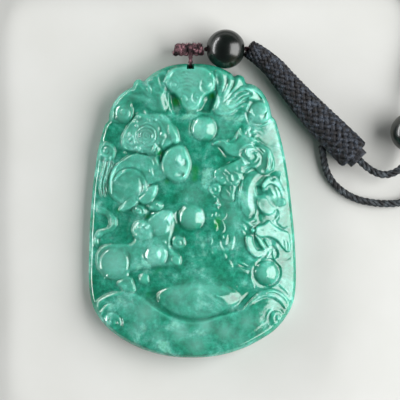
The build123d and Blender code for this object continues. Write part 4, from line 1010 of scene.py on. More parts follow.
def carve_dragon(relief):
    """The dragon at the right: head with its swirled crest, S-shaped neck and two clawed feet."""
    relief.form([(4.2, 13.6), (5.4, 14.3), (6.8, 14.2), (8.1, 13.8), (9.3, 14.6), (9.8, 16.2), (10.8, 15.4),
                 (12.9, 14.9), (14.8, 13.4), (16.3, 12.2), (17.0, 10.0), (16.8, 8.0), (15.6, 7.4),
                 (14.0, 7.4), (12.6, 8.6), (11.0, 8.2), (10.2, 7.0), (9.6, 5.6), (8.9, 5.0), (6.8, 5.0),
                 (5.0, 6.2), (4.7, 7.8), (5.8, 8.8), (8.2, 9.8), (9.8, 10.6), (8.4, 11.0), (7.2, 11.5),
                 (6.2, 12.7), (5.0, 13.2)], 0.55, edge=0.7)
    relief.form([(4.9, 7.6), (5.8, 8.7), (7.6, 9.3), (9.4, 9.9), (9.7, 8.4), (10.4, 7.0), (9.9, 5.9),
                 (8.9, 5.1), (6.9, 5.1), (5.3, 6.2)], 0.55, edge=0.9)
    relief.plane([(12.4, 13.5), (13.6, 14.3), (15.0, 13.4), (16.3, 12.1), (17.0, 10.0), (16.8, 8.3),
                  (15.8, 7.6), (14.9, 8.3), (15.0, 10.0), (14.5, 11.4), (13.6, 12.4)], 0.5, tilt_x=-0.25,
                 edge=0.35)
    relief.dome(11.9, 11.6, 1.7, 0.62, squash=0.85, turn=40, fullness=0.4, foot=0.45)
    relief.form([(8.9, 5.0), (8.7, 3.4), (8.6, 2.1), (7.0, 2.1), (5.9, 2.8), (6.0, 4.2), (6.9, 5.2)], 0.3,
                edge=0.5)
    relief.dome(4.7, 4.3, 1.2, 0.5, fullness=0.4, foot=0.0)
    relief.ring(4.7, 4.3, 0.6, 0.25, -0.2)
    relief.form([(9.9, 0.9), (9.6, 3.0), (10.0, 5.2), (10.9, 7.0), (12.3, 8.0), (14.3, 7.4), (13.1, 6.6),
                 (12.0, 4.8), (11.7, 3.0), (11.8, 1.0), (12.4, -0.4), (11.6, -1.6), (10.4, -0.6)], 0.35,
                edge=1.2)
    relief.plane([(10.0, 1.0), (9.9, 3.0), (10.3, 5.2), (11.1, 6.9), (12.2, 7.6), (11.6, 6.0), (11.2, 4.2),
                  (11.1, 2.4), (11.3, 0.4), (10.7, -0.2)], 0.3, edge=0.5)
    relief.plane([(12.9, 4.9), (14.2, 5.0), (14.7, 4.0), (15.8, 4.4), (16.4, 3.4), (17.0, 2.6), (18.9, 2.4),
                  (19.4, 1.2), (18.4, 0.7), (17.3, 0.8), (16.2, 2.2), (15.3, 2.9), (13.2, 3.0)], -0.05,
                 tilt_x=-0.22)
    relief.plane([(16.6, 8.3), (18.4, 7.9), (18.9, 6.6), (18.0, 6.2), (17.2, 6.9), (16.2, 6.6),
                  (15.4, 7.3)], 0.05, tilt_x=-0.16)
    relief.plane([(15.9, -6.2), (17.0, -6.6), (17.9, -8.0), (18.3, -9.2), (17.6, -9.9), (16.9, -9.0),
                  (16.3, -8.2), (15.4, -8.5), (15.9, -7.4)], -0.05, tilt_x=-0.2)
    relief.plane([(17.2, 0.3), (17.9, -0.4), (17.9, -1.6), (17.5, -2.5), (18.6, -3.4), (20.2, -3.2),
                  (19.9, -3.8), (18.4, -4.1), (16.9, -2.7), (16.6, -1.2)], -0.1, tilt_x=-0.15)
    relief.crest([(13.2, -1.6), (12.5, -0.5), (11.9, 0.9), (11.7, 2.6), (11.9, 4.6), (12.7, 6.2),
                  (14.1, 7.3)], 0.75, 0.34, back=1.4)
    relief.plane([(14.3, 5.2), (15.7, 6.8), (16.4, 6.0), (17.2, 6.4), (17.9, 5.6), (18.5, 4.2), (18.0, 4.0),
                  (17.4, 4.7), (16.5, 5.2), (15.6, 5.1), (14.8, 4.3)], 0.6, tilt_x=0.1, edge=0.14)
    relief.plane([(13.6, 2.6), (15.3, 2.6), (16.0, 1.5), (17.2, 0.2), (16.8, -0.6), (16.0, -1.1),
                  (15.0, -1.0), (14.0, -0.2), (13.4, 1.0)], 0.4, tilt_x=0.05)
    relief.plane([(13.2, -3.3), (14.6, -2.9), (15.8, -2.1), (16.4, -2.7), (18.0, -3.9), (19.7, -4.6),
                  (20.1, -6.0), (20.1, -8.4), (19.2, -8.5), (18.4, -7.6), (17.2, -6.2), (15.6, -5.5),
                  (14.0, -5.6), (12.9, -4.9)], 0.6, tilt_x=0.08, edge=0.16)
    relief.plane([(12.9, -5.2), (14.1, -5.8), (15.0, -7.4), (14.7, -8.1), (13.9, -7.3)], 0.6, tilt_x=0.1,
                 edge=0.14)
    relief.plane([(14.6, -6.0), (15.4, -6.0), (15.9, -7.2), (15.4, -7.4)], 0.45, tilt_x=0.1, edge=0.14)
    relief.plane([(11.0, -5.3), (11.0, -6.8), (11.5, -8.4), (12.2, -9.2), (13.4, -9.8), (14.7, -9.3),
                  (15.1, -8.6), (14.2, -8.2), (13.2, -8.0), (12.7, -7.2), (12.4, -6.2), (12.2, -5.3)], 0.5,
                 tilt_x=0.16, edge=0.14)
    relief.plane([(11.2, 12.6), (12.6, 12.8), (12.9, 12.4), (12.0, 11.9), (12.2, 10.9), (11.6, 10.6),
                  (11.1, 11.4)], 0.9, tilt_x=0.35, edge=0.12)
    relief.ridges([
        ([(11.7, 8.0), (10.6, 6.9), (10.2, 5.7), (9.9, 4.4), (9.6, 2.8), (9.7, 0.8)], 0.3, 0.4),
        ([(8.0, 14.1), (9.0, 14.7), (9.5, 15.6), (9.9, 16.5)], 0.35, 0.8),
        ([(4.3, 13.3), (5.6, 14.2), (7.2, 14.2), (8.0, 13.9)], 0.3, 0.65),
        ([(9.6, 12.2), (10.5, 12.9), (11.5, 13.4), (12.5, 13.4)], 0.3, 0.5),
        ([(13.0, 12.8), (14.0, 12.7), (14.9, 11.9)], 0.32, 0.6),
        ([(15.7, 11.6), (15.9, 10.4), (15.8, 9.0), (15.2, 7.7)], 0.36, 0.7),
        ([(12.9, 11.7), (13.4, 11.1), (13.3, 10.4), (12.6, 9.9)], 0.32, 0.4),
        ([(13.7, 11.0), (14.0, 10.2), (13.4, 9.3), (12.6, 8.7), (11.6, 8.0), (10.6, 7.7), (9.7, 8.0)], 0.35,
         0.4),
        ([(10.3, 10.6), (10.6, 9.9), (10.9, 9.4), (10.2, 9.1)], 0.3, 0.4),
        ([(8.1, 7.3), (8.1, 6.0)], 0.3, 0.4),
        ([(9.4, 7.0), (9.8, 6.5)], 0.3, 0.4),
        ([(5.8, 5.2), (6.4, 5.5), (6.9, 5.9)], 0.28, 0.35),
        ([(5.8, 6.7), (6.3, 6.7)], 0.32, 0.3),
        ([(6.5, 7.9), (6.9, 8.3)], 0.3, 0.3),
        ([(5.5, 7.9), (5.9, 7.8)], 0.28, 0.25),
        ([(3.8, 4.9), (3.6, 4.2), (4.1, 3.2), (4.8, 2.7)], 0.3, 0.35),
        ([(5.2, 5.5), (5.6, 4.8), (5.5, 3.7)], 0.3, 0.4),
        ([(5.1, 2.4), (5.2, 1.3), (5.3, 0.4)], 0.3, 0.6),
        ([(4.3, 1.0), (5.1, 1.3), (5.8, 1.1)], 0.3, 0.6),
        ([(7.0, -0.5), (6.9, -1.2), (6.2, -1.8), (5.3, -1.7), (4.7, -1.0), (5.0, -0.3)], 0.24, 0.3),
        ([(6.0, -2.0), (6.5, -3.0), (6.5, -3.9), (5.7, -4.8)], 0.24, 0.3),
        ([(4.2, -0.6), (3.7, -1.2)], 0.3, 0.3),
        ([(4.2, -2.1), (4.7, -2.7)], 0.28, 0.35),
        ([(5.0, -3.4), (4.8, -4.2)], 0.25, 0.3),
        ([(2.6, -5.2), (2.9, -6.4)], 0.25, 0.28),
        ([(3.3, -5.2), (4.0, -5.9), (3.8, -6.9)], 0.28, 0.35),
        ([(4.4, -5.2), (4.7, -5.7)], 0.25, 0.25),
        ([(6.2, -5.0), (6.3, -5.8)], 0.25, 0.3),
        ([(5.6, -5.8), (5.7, -7.0), (6.3, -8.1), (7.2, -8.5)], 0.3, 0.35),
        ([(6.9, -5.8), (6.7, -7.1)], 0.28, 0.35),
        ([(8.5, -5.2), (8.3, -6.7), (7.9, -8.1)], 0.3, 0.4),
        ([(6.3, -8.7), (7.0, -9.7)], 0.3, 0.35),
        ([(3.5, -7.8), (4.3, -8.8)], 0.28, 0.3),
        ([(7.4, -10.2), (8.2, -11.5)], 0.35, 0.3),
        ([(16.1, 4.3), (16.9, 3.0)], 0.3, 0.4),
        ([(17.1, 4.7), (17.5, 3.8), (17.8, 2.7)], 0.34, 0.4),
        ([(17.9, 4.7), (18.3, 3.8), (18.7, 2.7)], 0.34, 0.4),
        ([(18.3, 7.4), (18.1, 6.3), (18.6, 5.0), (19.3, 3.8)], 0.3, 0.25),
        ([(13.4, 2.5), (13.6, 0.9), (14.3, -0.4), (15.2, -1.2)], 0.28, 0.3),
        ([(17.7, -1.0), (17.2, -1.8), (16.7, -2.4)], 0.35, 0.4),
        ([(11.0, -2.3), (12.2, -3.2), (13.2, -3.2)], 0.35, 0.45),
        ([(13.2, 0.0), (13.0, -1.2), (12.0, -2.2), (10.7, -2.1)], 0.35, 0.4),
        ([(10.3, -2.9), (11.0, -3.9)], 0.3, 0.45),
        ([(10.1, -4.1), (10.7, -4.8)], 0.28, 0.4),
        ([(10.3, -2.0), (11.4, -2.5), (12.6, -2.7), (13.4, -2.4)], 0.32, 0.5),
        ([(9.2, -11.5), (10.2, -12.2), (11.4, -12.6)], 0.55, 0.45),
        ([(9.5, -10.6), (10.4, -11.0), (11.2, -11.4)], 0.25, 0.3),
        ([(12.1, -12.4), (12.0, -13.9), (12.6, -15.5)], 0.28, 0.35),
        ([(12.9, -11.0), (12.9, -11.8)], 0.28, 0.3),
        ([(14.2, -10.3), (15.2, -9.7), (15.9, -8.5)], 0.28, 0.35),
        ([(16.5, -8.5), (16.6, -9.2), (17.2, -10.5), (18.4, -11.6)], 0.3, 0.35),
        ([(15.0, -10.2), (16.1, -9.4)], 0.25, 0.25),
    ])
    relief.grooves([
        ([(5.0, 8.3), (6.9, 9.3), (8.9, 10.1), (10.2, 10.6)], 0.32, 0.4),
        ([(5.1, 13.4), (6.2, 12.4), (7.1, 11.3), (8.4, 10.8), (10.0, 10.9)], 0.35, 0.35),
        ([(6.6, 14.5), (8.0, 13.7), (9.2, 14.1), (10.1, 15.2)], 0.3, 0.3),
        ([(11.4, 15.1), (13.0, 14.8), (14.4, 13.6), (15.8, 12.5)], 0.35, 0.4),
        ([(12.2, 11.9), (12.9, 12.1), (13.8, 11.8), (14.4, 10.8), (14.2, 9.6)], 0.3, 0.3),
        ([(10.6, 11.9), (10.1, 11.2), (11.3, 10.2), (12.0, 9.7)], 0.3, 0.35),
        ([(10.4, 8.6), (11.3, 9.0), (12.2, 9.4)], 0.45, 0.4),
        ([(16.5, 11.8), (16.5, 10.0), (16.2, 8.4)], 0.35, 0.3),
        ([(8.9, 4.8), (8.75, 3.2), (8.6, 1.9), (7.3, 1.5)], 0.25, 0.4),
        ([(4.2, 4.5), (4.7, 3.8), (5.0, 4.4), (4.7, 4.9)], 0.22, 0.3),
        ([(15.2, -4.6), (16.1, -4.2), (17.2, -4.3)], 0.24, 0.25),
        ([(18.6, -6.0), (18.8, -7.2), (19.0, -8.3)], 0.22, 0.25),
        ([(19.3, -6.2), (19.5, -7.2), (19.5, -8.4)], 0.22, 0.25),
        ([(13.4, -3.9), (14.6, -4.1)], 0.2, 0.2),
        ([(16.0, -7.2), (16.9, -7.9), (17.3, -9.0), (16.9, -9.8)], 0.5, 0.4),
        ([(12.6, -5.2), (12.6, -6.6), (13.0, -7.6)], 0.5, 0.2),
        ([(9.6, -11.0), (11.0, -11.7), (12.0, -11.6)], 0.3, 0.4),
        ([(4.8, -0.3), (5.7, -0.6), (5.9, -1.3)], 0.4, 0.25),
        ([(4.6, -1.4), (5.4, -2.6), (5.5, -4.0)], 0.4, 0.2),
        ([(7.5, -5.0), (7.5, -6.8)], 0.35, 0.3),
        ([(17.9, -10.2), (19.6, -10.0), (20.4, -9.4)], 0.3, 0.2),
    ])
    relief.dome(12.45, -4.05, 0.45, 0.9, foot=0.3)
    for x, y in [(10.2, 14.7), (11.0, 16.0), (11.8, 15.5), (12.6, 16.0), (13.0, 15.2), (11.6, 16.5)]:
        relief.dome(x, y, 0.45, 0.35, fullness=0.6, foot=0.05)


def carve_foot(relief):
    """The foot of the plaque: a smooth lens over a broad cloud band, whose ends roll up at both sides."""
    relief.form([(-19.9, -19.4), (-19.3, -18.0), (-17.6, -16.9), (-15.0, -16.3), (-12.4, -16.5),
                 (-10.4, -17.4), (-8.8, -18.7), (-6.4, -20.3), (-3.8, -21.6), (-0.8, -22.3), (2.2, -22.2),
                 (5.2, -21.3), (8.0, -20.7), (10.2, -19.9), (12.0, -18.1), (13.6, -16.8), (15.2, -16.2),
                 (16.8, -16.2), (18.4, -17.0), (19.7, -18.4), (20.2, -20.2), (19.0, -22.4), (16.5, -25.0),
                 (11.0, -28.1), (4.0, -30.0), (-4.0, -30.0), (-11.0, -28.1), (-16.5, -25.0),
                 (-19.0, -22.2)], 0.65, edge=1.0)
    relief.form([(-7.4, -17.4), (-5.2, -15.6), (-0.2, -14.7), (5.0, -15.0), (8.0, -16.1), (9.8, -17.6),
                 (8.4, -19.4), (5.2, -21.0), (2.0, -21.9), (-2.0, -21.6), (-5.0, -20.3)], 0.95, edge=3.4)
    relief.dome(-16.3, -22.4, 1.9, 1.0, fullness=0.45, foot=0.45)
    relief.dome(17.4, -22.0, 1.9, 0.95, fullness=0.55, foot=0.5)
    relief.ridges([
        ([(-19.2, -19.4), (-18.6, -18.5), (-17.6, -17.7), (-16.2, -17.2), (-14.4, -17.0)], 0.35, 0.3),
        ([(-18.7, -21.4), (-18.3, -20.2), (-17.6, -19.4), (-16.5, -18.9)], 0.36, 0.7),
        ([(-17.4, -21.2), (-17.3, -22.3)], 0.28, 0.22),
        ([(10.4, -20.1), (12.2, -18.3), (13.8, -17.0), (15.3, -16.5), (16.9, -16.6), (18.4, -17.4),
          (19.5, -18.7), (19.8, -20.0)], 0.42, 0.4),
        ([(12.0, -18.8), (13.8, -17.6), (15.4, -17.3), (16.9, -17.7), (18.3, -18.8), (19.1, -20.2)], 0.4,
         0.35),
        ([(15.0, -21.9), (15.4, -21.1), (16.1, -20.4)], 0.3, 0.25),
        ([(10.8, -25.9), (12.2, -24.6), (13.8, -23.4), (15.2, -22.5), (15.7, -21.2)], 0.3, 0.03),
        ([(6.0, -20.6), (8.2, -20.0), (9.6, -18.4), (9.8, -17.4)], 0.3, 0.15),
        ([(17.9, -15.3), (18.9, -16.2), (19.8, -17.4)], 0.28, 0.3),
    ])
    relief.grooves([
        ([(-10.2, -16.9), (-8.8, -18.2), (-6.6, -19.8), (-4.0, -21.2), (-1.0, -22.0), (2.0, -22.0),
          (5.0, -21.2), (8.2, -20.0), (10.2, -18.2), (11.4, -17.0)], 0.8, 0.45),
        ([(-20.0, -17.6), (-18.2, -16.4), (-15.4, -15.8)], 0.35, 0.3),
        ([(-16.4, -18.1), (-14.6, -18.1), (-12.8, -18.5), (-11.4, -19.2)], 0.3, 0.25),
        ([(-17.6, -20.7), (-16.6, -20.6), (-15.2, -21.0), (-14.4, -22.4), (-14.5, -24.0)], 0.35, 0.4),
        ([(12.6, -19.0), (14.2, -18.2), (15.8, -18.1), (17.4, -18.8), (18.6, -20.2)], 0.3, 0.3),
        ([(16.4, -20.4), (17.6, -20.5), (18.7, -21.2)], 0.35, 0.4),
        ([(9.0, -15.3), (9.8, -16.1)], 0.25, 0.2),
    ])
    relief.plane([(14.0, -19.6), (15.6, -18.8), (17.3, -18.7), (18.5, -19.5), (19.3, -20.8), (17.8, -20.3),
                  (16.0, -20.1)], 0.62, tilt_x=0.05, edge=0.3)
    relief.plane([(4.6, -17.2), (7.0, -17.2), (9.0, -16.9), (9.8, -17.6), (9.2, -18.5), (7.2, -18.8),
                  (5.8, -18.0)], 0.68, tilt_x=0.3, edge=0.15)
    relief.spiral(-16.1, -22.5, 1.25, 1.2, 100, 0.3, -0.45)
    relief.spiral(17.5, -21.9, 1.3, -1.1, 80, 0.3, -0.3)
    relief.sink([(-10.0, -16.8), (-8.8, -16.3), (-6.8, -16.4), (-6.6, -17.6), (-7.0, -18.8), (-8.4, -18.2)],
                0.35, edge=0.6)
    relief.line([(-8.5, -17.8), (-8.0, -17.6), (-7.5, -17.2)], 0.28, 0.35)


def carved_height(x, y):
    """Height of the whole carving at the given places, softly held below the plaque's highest point."""
    relief = Relief(x, y)
    carve_bat(relief)
    carve_monkey(relief)
    carve_rat(relief)
    carve_dragon(relief)
    carve_foot(relief)
    relief.height *= CARVED_SHARE
    carve_pearls(relief)
    proud = np.clip(relief.height - HELD_FROM, 0, None)
    return np.minimum(relief.height, HELD_FROM) + HELD_WITHIN * (1 - np.exp(-proud / HELD_WITHIN))


def softened(grid, passes):
    """A square grid of values, softened between neighbours."""
    for _ in range(passes):
        grid = np.pad(grid, 1, mode="edge")
        grid = (grid[:-2] + 2 * grid[1:-1] + grid[2:]) / 4
        grid = (grid[:, :-2] + 2 * grid[:, 1:-1] + grid[:, 2:]) / 4
    return grid


def spots(x, y, patches):
    """How strongly each place lies in any of some soft round patches, given as place, reach and strength."""
    strength = np.zeros(len(x))
    for at_x, at_y, reach, amount in patches:
        strength += amount * np.exp(-((x - at_x) ** 2 + (y - at_y) ** 2) / reach**2)
    return np.clip(strength, 0, 1)


def hand_polish(x, y):
    """The slight unevenness that polishing by hand leaves on a flat of stone."""
    return 0.035 * np.sin(0.41 * x + 1.1) * np.sin(0.37 * y + 0.4) + 0.02 * np.sin(0.9 * x - 0.7 * y)


def plaque_outline():
    """The plaque's closed outline, anticlockwise from the point of its right side at mid height."""
    outline = flowing(OUTLINE_RIGHT + OUTLINE_LEFT, closed=True)[::-1]
    start = np.argmin(np.abs(outline[:, 1]) - outline[:, 0])
    return np.vstack([np.roll(outline, -start, axis=0), outline[start]])


def laid_over(outline, u, v, reach):
    """Places of a square grid that is laid over the outline, its rings crowded towards the rounded rim."""
    walked = running_length(outline)
    leftmost = np.argmin(np.abs(outline[:, 1]) + outline[:, 0])
    corners = [np.argmax(outline[:, 1]), leftmost, np.argmin(outline[:, 1]), -1]
    # Each side of the square takes the run of the outline between two corners, from the right-hand one on
    right, top, left = u >= reach - 1e-6, v >= reach - 1e-6, u <= -reach + 1e-6
    share = np.where(
        right, v / reach / 8 % 1,
        np.where(top, 0.25 - u / reach / 8, np.where(left, 0.5 - v / reach / 8, 0.75 + u / reach / 8)),
    )
    along = np.interp(share, [0, 0.25, 0.5, 0.75, 1], [0.0] + [walked[corner] for corner in corners])
    ring = reach * RINGS
    inner = np.minimum(ring / (RINGS - RIM_RINGS), 1) ** RING_CROWDING
    rim = np.clip((ring - (RINGS - RIM_RINGS)) / RIM_RINGS, 0, 1)
    scale = inner * (1 - RIM_SHARE) + RIM_SHARE * np.sin(rim * math.pi / 2)
    return np.interp(along, walked, outline[:, 0]) * scale, np.interp(along, walked, outline[:, 1]) * scale


def carve_front(piece, side):
    """Lays the square grid over the plaque's outline, raises it to the carving and notes how it lies."""
    place = np.empty((side + 1) ** 2 * 3)
    piece.data.vertices.foreach_get("co", place)
    u, v, _ = place.reshape(-1, 3).T
    reach = np.maximum(np.maximum(np.abs(u), np.abs(v)), 1e-9)
    outline = plaque_outline()
    x, y = laid_over(outline, u, v, reach)

    height = carved_height(x, y).reshape(side + 1, side + 1)
    height = 0.5 * height + 0.5 * softened(height, 1)
    # How far each place lies down in a hollow, which sets the painted shade there and the painted highlight
    # on the ridges
    hollow = (softened(height, 14) - height).ravel()
    # The raised forms are painted paler, as if lit, and the foot keeps only a little of that painted light
    above_foot = np.clip((y - FOOT_TOP) / FOOT_FADE, FOOT_LIT_PALENESS, 1)
    raised = softened(height, 4).ravel() * above_foot
    # Only near the edge does the distance from it matter, so further in it is taken as 9 mm
    edge_distance = np.full(len(x), 9.0)
    outer = np.flatnonzero(reach > 0.8)
    edge_distance[outer], _, _ = nearest(x[outer], y[outer], outline)
    fade = np.clip(edge_distance / RIM_FADE, 0, 1)
    ground = GROUND_THICKNESS - FRONT_RADIUS + np.sqrt(FRONT_RADIUS**2 - x**2)
    short = np.clip(FRONT_ROUND - edge_distance, 0, None)
    rounding = FRONT_ROUND - np.sqrt(np.clip(FRONT_ROUND**2 - short**2, 0, None))
    z = ground + height.ravel() * eased(fade) + hand_polish(x, y) * fade - rounding
    piece.data.vertices.foreach_set("co", (np.column_stack([x, y, z]) * MM).ravel())
    # Masks for the material: hollow sets painted shade and the ridges' painted highlight, raised sets painted
    # light, deep green is partly painted shade in the recesses, milky is the stone's pale cloud, and curled
    # and wrinkled say where fine lines are cut
    for name, values in (
        ("hollow", np.clip(hollow / HOLLOW_DEPTH, -1, 1)),
        ("raised", np.clip(raised / LIT_PALE_HEIGHT, 0, 1)),
        ("deep_green_and_shade", spots(x, y, DEEP_GREEN_AND_SHADE)),
        ("milky", spots(x, y, MILKY)),
        ("curled", spots(x, y, CURLED)),
        ("wrinkled", spots(x, y, WRINKLED)),
    ):
        layer = piece.data.attributes.new(name, "FLOAT", "POINT")
        layer.data.foreach_set("value", values.astype(np.float32))


def close_back(piece):
    """Draws the plaque's rim down to a wall, rounds it in to the back and closes that with one flat face."""
    shell = bmesh.new()
    shell.from_mesh(piece.data)
    rim_edges = [edge for edge in shell.edges if edge.is_boundary]
    back = BACK_ROUND * MM
    turns = [math.radians(a) for a in (22.5, 45, 67.5, 90)]
    # Rings of the wall from the rim down: the share of its height that is kept, or else a level, and an inset
    levels = [(0.67, 0, 0), (0.5, 0, 0), (0, back, 0)]
    levels += [(0, back * (1 - math.sin(a)), back * (1 - math.cos(a))) for a in turns] + [(0, 0, 2.2 * back)]
    inset_before = 0.0
    for keep, level, inset in levels:
        grown = bmesh.ops.extrude_edge_only(shell, edges=rim_edges)["geom"]
        rim_edges = [item for item in grown if isinstance(item, bmesh.types.BMEdge) and item.is_boundary]
        for vertex in (item for item in grown if isinstance(item, bmesh.types.BMVert)):
            vertex.co.z = back + (vertex.co.z - back) * keep if keep else level
            away = math.hypot(vertex.co.x, vertex.co.y)
            vertex.co.x *= 1 - (inset - inset_before) / away
            vertex.co.y *= 1 - (inset - inset_before) / away
        inset_before = inset
    bmesh.ops.contextual_create(shell, geom=rim_edges)
    bmesh.ops.recalc_face_normals(shell, faces=shell.faces)
    shell.to_mesh(piece.data)
    shell.free()


def cut_tunnel(piece):
    """Cuts the loop's bent bore and the slot in front of it out of the plaque."""
    bore = mesh_piece(*strand_mesh([loop_route()], [BORE_RADIUS * MM], 16))
    bpy.ops.object.select_all(action="DESELECT")
    bpy.ops.mesh.primitive_cube_add(size=1, location=(0, 0, 0))
    slot = bpy.context.object
    for vertex in slot.data.vertices:
        x, y, z = vertex.co
        vertex.co = Vector((2 * SLOT_HALF * x, SLOT_ENDS[y > 0], SLOT_LEVELS[z > 0])) * MM
    for cutter in (bore, slot):
        cut = piece.modifiers.new("cut", "BOOLEAN")
        cut.operation, cut.object, cut.solver = "DIFFERENCE", cutter, "EXACT"
        bpy.ops.object.select_all(action="DESELECT")
        bpy.context.view_layer.objects.active = piece
        piece.select_set(True)
        bpy.ops.object.modifier_apply(modifier="cut")
        bpy.data.objects.remove(cutter)


def plaque(material):
    """The carved jade: one square grid, laid over the outline, raised to the carving and closed behind."""
    side = 2 * RINGS
    bpy.ops.object.select_all(action="DESELECT")
    bpy.ops.mesh.primitive_grid_add(x_subdivisions=side, y_subdivisions=side, size=2)
    piece = bpy.context.object
    carve_front(piece, side)
    close_back(piece)
    cut_tunnel(piece)
    bpy.ops.object.shade_smooth_by_angle(angle=math.radians(SMOOTH_BELOW))
    finish_piece("carved_jade", piece, material, ["jade_plaque"])


def loop_route():
    """The loop's line on the plaque's middle: down the front, round inside the edge and up the back."""
    bend, middle = (LOOP_FRONT - LOOP_BACK) / 2, (LOOP_FRONT + LOOP_BACK) / 2
    route = [(y, LOOP_FRONT) for y in LOOP_STATIONS]
    for turn in np.linspace(0, math.pi, 13)[1:-1]:
        route.append((LOOP_STATIONS[-1] - bend * math.sin(turn), middle + bend * math.cos(turn)))
    route += [(y, LOOP_BACK) for y in reversed(LOOP_STATIONS)]
    return np.array([[0, y, z] for y, z in route]) * MM


def jade_material():
    """Green jade, polished: cloudy green, with painted shade darkening the hollows, painted light paling the
    raised forms and the ridges, deep green partly painted as shade in the recesses, and light goes a little
    way into it.

    Its clouds are about 5 mm wide and its flecks about 1 mm. The engraved curls and wrinkles lie about 0.7 mm
    apart, and as wide are the waves that the hand leaves in the polish.
    """
    material = new_material("polished green jade")
    place = add_node(material, "ShaderNodeTexCoord").outputs["Object"]
    cloud = add_node(
        material, "ShaderNodeTexNoise",
        {"Vector": place, "Scale": 1 / (5.263 * MM), "Detail": 6.0, "Roughness": 0.64, "Distortion": 0.3},
    )
    fleck = add_node(
        material, "ShaderNodeTexNoise",
        {"Vector": place, "Scale": 1 / (1.111 * MM), "Detail": 4.0, "Roughness": 0.7},
    )
    shades = add_node(
        material, "ShaderNodeValToRGB", {"Fac": cloud.outputs["Fac"]},
        stops=[(0.35, "0F795C"), (0.46, "229579"), (0.55, "44AA93"), (0.65, "88CFC2")],
    )
    fleck_shades = add_node(
        material, "ShaderNodeValToRGB", {"Fac": fleck.outputs["Fac"]},
        stops=[(0.36, "484848"), (0.66, "B8B8B8")],
    )
    # Inputs 6 and 7 of this node are its two colours, and its output 2 is their mixture
    flecked = add_node(
        material, "ShaderNodeMix",
        {"Factor": 0.55, 6: shades.outputs["Color"], 7: fleck_shades.outputs["Color"]},
        data_type="RGBA", blend_type="OVERLAY",
    )
    lies = {
        name: add_node(material, "ShaderNodeAttribute", attribute_name=name).outputs["Fac"]
        for name in ("hollow", "raised", "deep_green_and_shade", "milky", "curled", "wrinkled")
    }
    # Painted shade, darkest in the deepest hollows
    hollow_shade = add_node(
        material, "ShaderNodeMapRange", {"Value": lies["hollow"], "From Min": 0.15, "From Max": 1.7},
    )
    # Painted highlight on the ridges, where a place stands above its surroundings
    ridge_highlight = add_node(
        material, "ShaderNodeMapRange", {"Value": lies["hollow"], "From Min": 0.0, "From Max": -1.0},
    )
    # Deep green for the recesses, partly painted shade and partly the stone's deeper green
    vivid_shades = add_node(
        material, "ShaderNodeValToRGB", {"Fac": lies["deep_green_and_shade"]},
        stops=[(0.55, "04755A"), (0.95, "07841C")],
    )
    # Colour laid on in layers: painted light pales the raised forms, painted shade darkens the hollows, the
    # recesses go deep green partly as painted shade, painted highlight lightens the ridges, and the stone's
    # milky clouds lie over it
    colour = flecked.outputs[2]
    for where, amount, tint in [
        (lies["raised"], 0.34, linear("84CFC0")),
        (hollow_shade.outputs["Result"], 1.0, linear("07765A")),
        (lies["deep_green_and_shade"], 0.85, vivid_shades.outputs["Color"]),
        (ridge_highlight.outputs["Result"], 0.35, linear("60B9A6")),
        (lies["milky"], 0.55, linear("84C2B6")),
    ]:
        share = add_node(material, "ShaderNodeMath", {0: where, 1: amount}, operation="MULTIPLY")
        tinted = add_node(
            material, "ShaderNodeMix", {"Factor": share.outputs[0], 6: colour, 7: tint}, data_type="RGBA",
        )
        colour = tinted.outputs[2]
    wear = add_node(
        material, "ShaderNodeTexNoise", {"Vector": place, "Scale": 1 / (0.6667 * MM), "Detail": 3.0},
    )
    about_face = add_node(
        material, "ShaderNodeMapping",
        {"Vector": place, "Location": (-FACE_MIDDLE[0] * MM, -FACE_MIDDLE[1] * MM, 0)},
    )
    curls = add_node(
        material, "ShaderNodeTexWave",
        {
            "Vector": about_face.outputs["Vector"], "Scale": WAVE_LENGTH / (0.6545 * MM), "Distortion": 2.2,
            "Detail": 2.0, "Detail Scale": 1.2,
        },
        wave_type="RINGS", rings_direction="Z",
    )
    wrinkles = add_node(
        material, "ShaderNodeTexWave",
        {
            "Vector": place, "Scale": WAVE_LENGTH / (0.7306 * MM), "Distortion": 9.0, "Detail": 2.0,
            "Detail Scale": 0.9,
        },
        wave_type="BANDS", bands_direction="DIAGONAL",
    )
    height = add_node(
        material, "ShaderNodeMath", {0: curls.outputs["Fac"], 1: lies["curled"]}, operation="MULTIPLY",
    )
    for lines, amount in [(wrinkles.outputs["Fac"], lies["wrinkled"]), (wear.outputs["Fac"], 0.14)]:
        height = add_node(
            material, "ShaderNodeMath", {0: lines, 1: amount, 2: height.outputs[0]}, operation="MULTIPLY_ADD",
        )
    bump = add_node(
        material, "ShaderNodeBump", {"Height": height.outputs[0], "Strength": 1.0, "Distance": 0.11 * MM},
    )
    gloss = add_node(
        material, "ShaderNodeMapRange", {"Value": cloud.outputs["Fac"], "To Min": 0.08, "To Max": 0.14},
    )
    shader = add_node(
        material, "ShaderNodeBsdfPrincipled",
        {
            "Base Color": colour, "Normal": bump.outputs["Normal"], "Roughness": gloss.outputs["Result"],
            "IOR": 1.61, "Subsurface Weight": 0.8, "Subsurface Radius": (0.5, 1.0, 0.8),
            "Subsurface Scale": 2.0 * MM,
        },
        subsurface_method="RANDOM_WALK",
    )
    add_node(material, "ShaderNodeOutputMaterial", {"Surface": shader.outputs["BSDF"]})
    return material


def fuzz_lines(points, count, reach, length):
    """Short stray fibres that stand off a line of cord, each a bent line of a few points."""
    heading, side, up = carried_frames(points)
    lines = []
    for _ in range(count):
        i = random.randrange(len(points))
        turn = random.uniform(0, 2 * math.pi)
        out = side[i] * math.cos(turn) + up[i] * math.sin(turn)
        swing = heading[i] * random.uniform(-0.8, 0.8) + np.cross(heading[i], out) * random.uniform(-0.8, 0.8)
        steps = np.linspace(0, 1, 4)[:, None] * length * random.uniform(0.4, 1.0)
        root = points[i] + out * (reach * 0.9)
        lines.append(root + out * steps * (1 - 0.4 * steps / length) + swing * steps)
    return lines


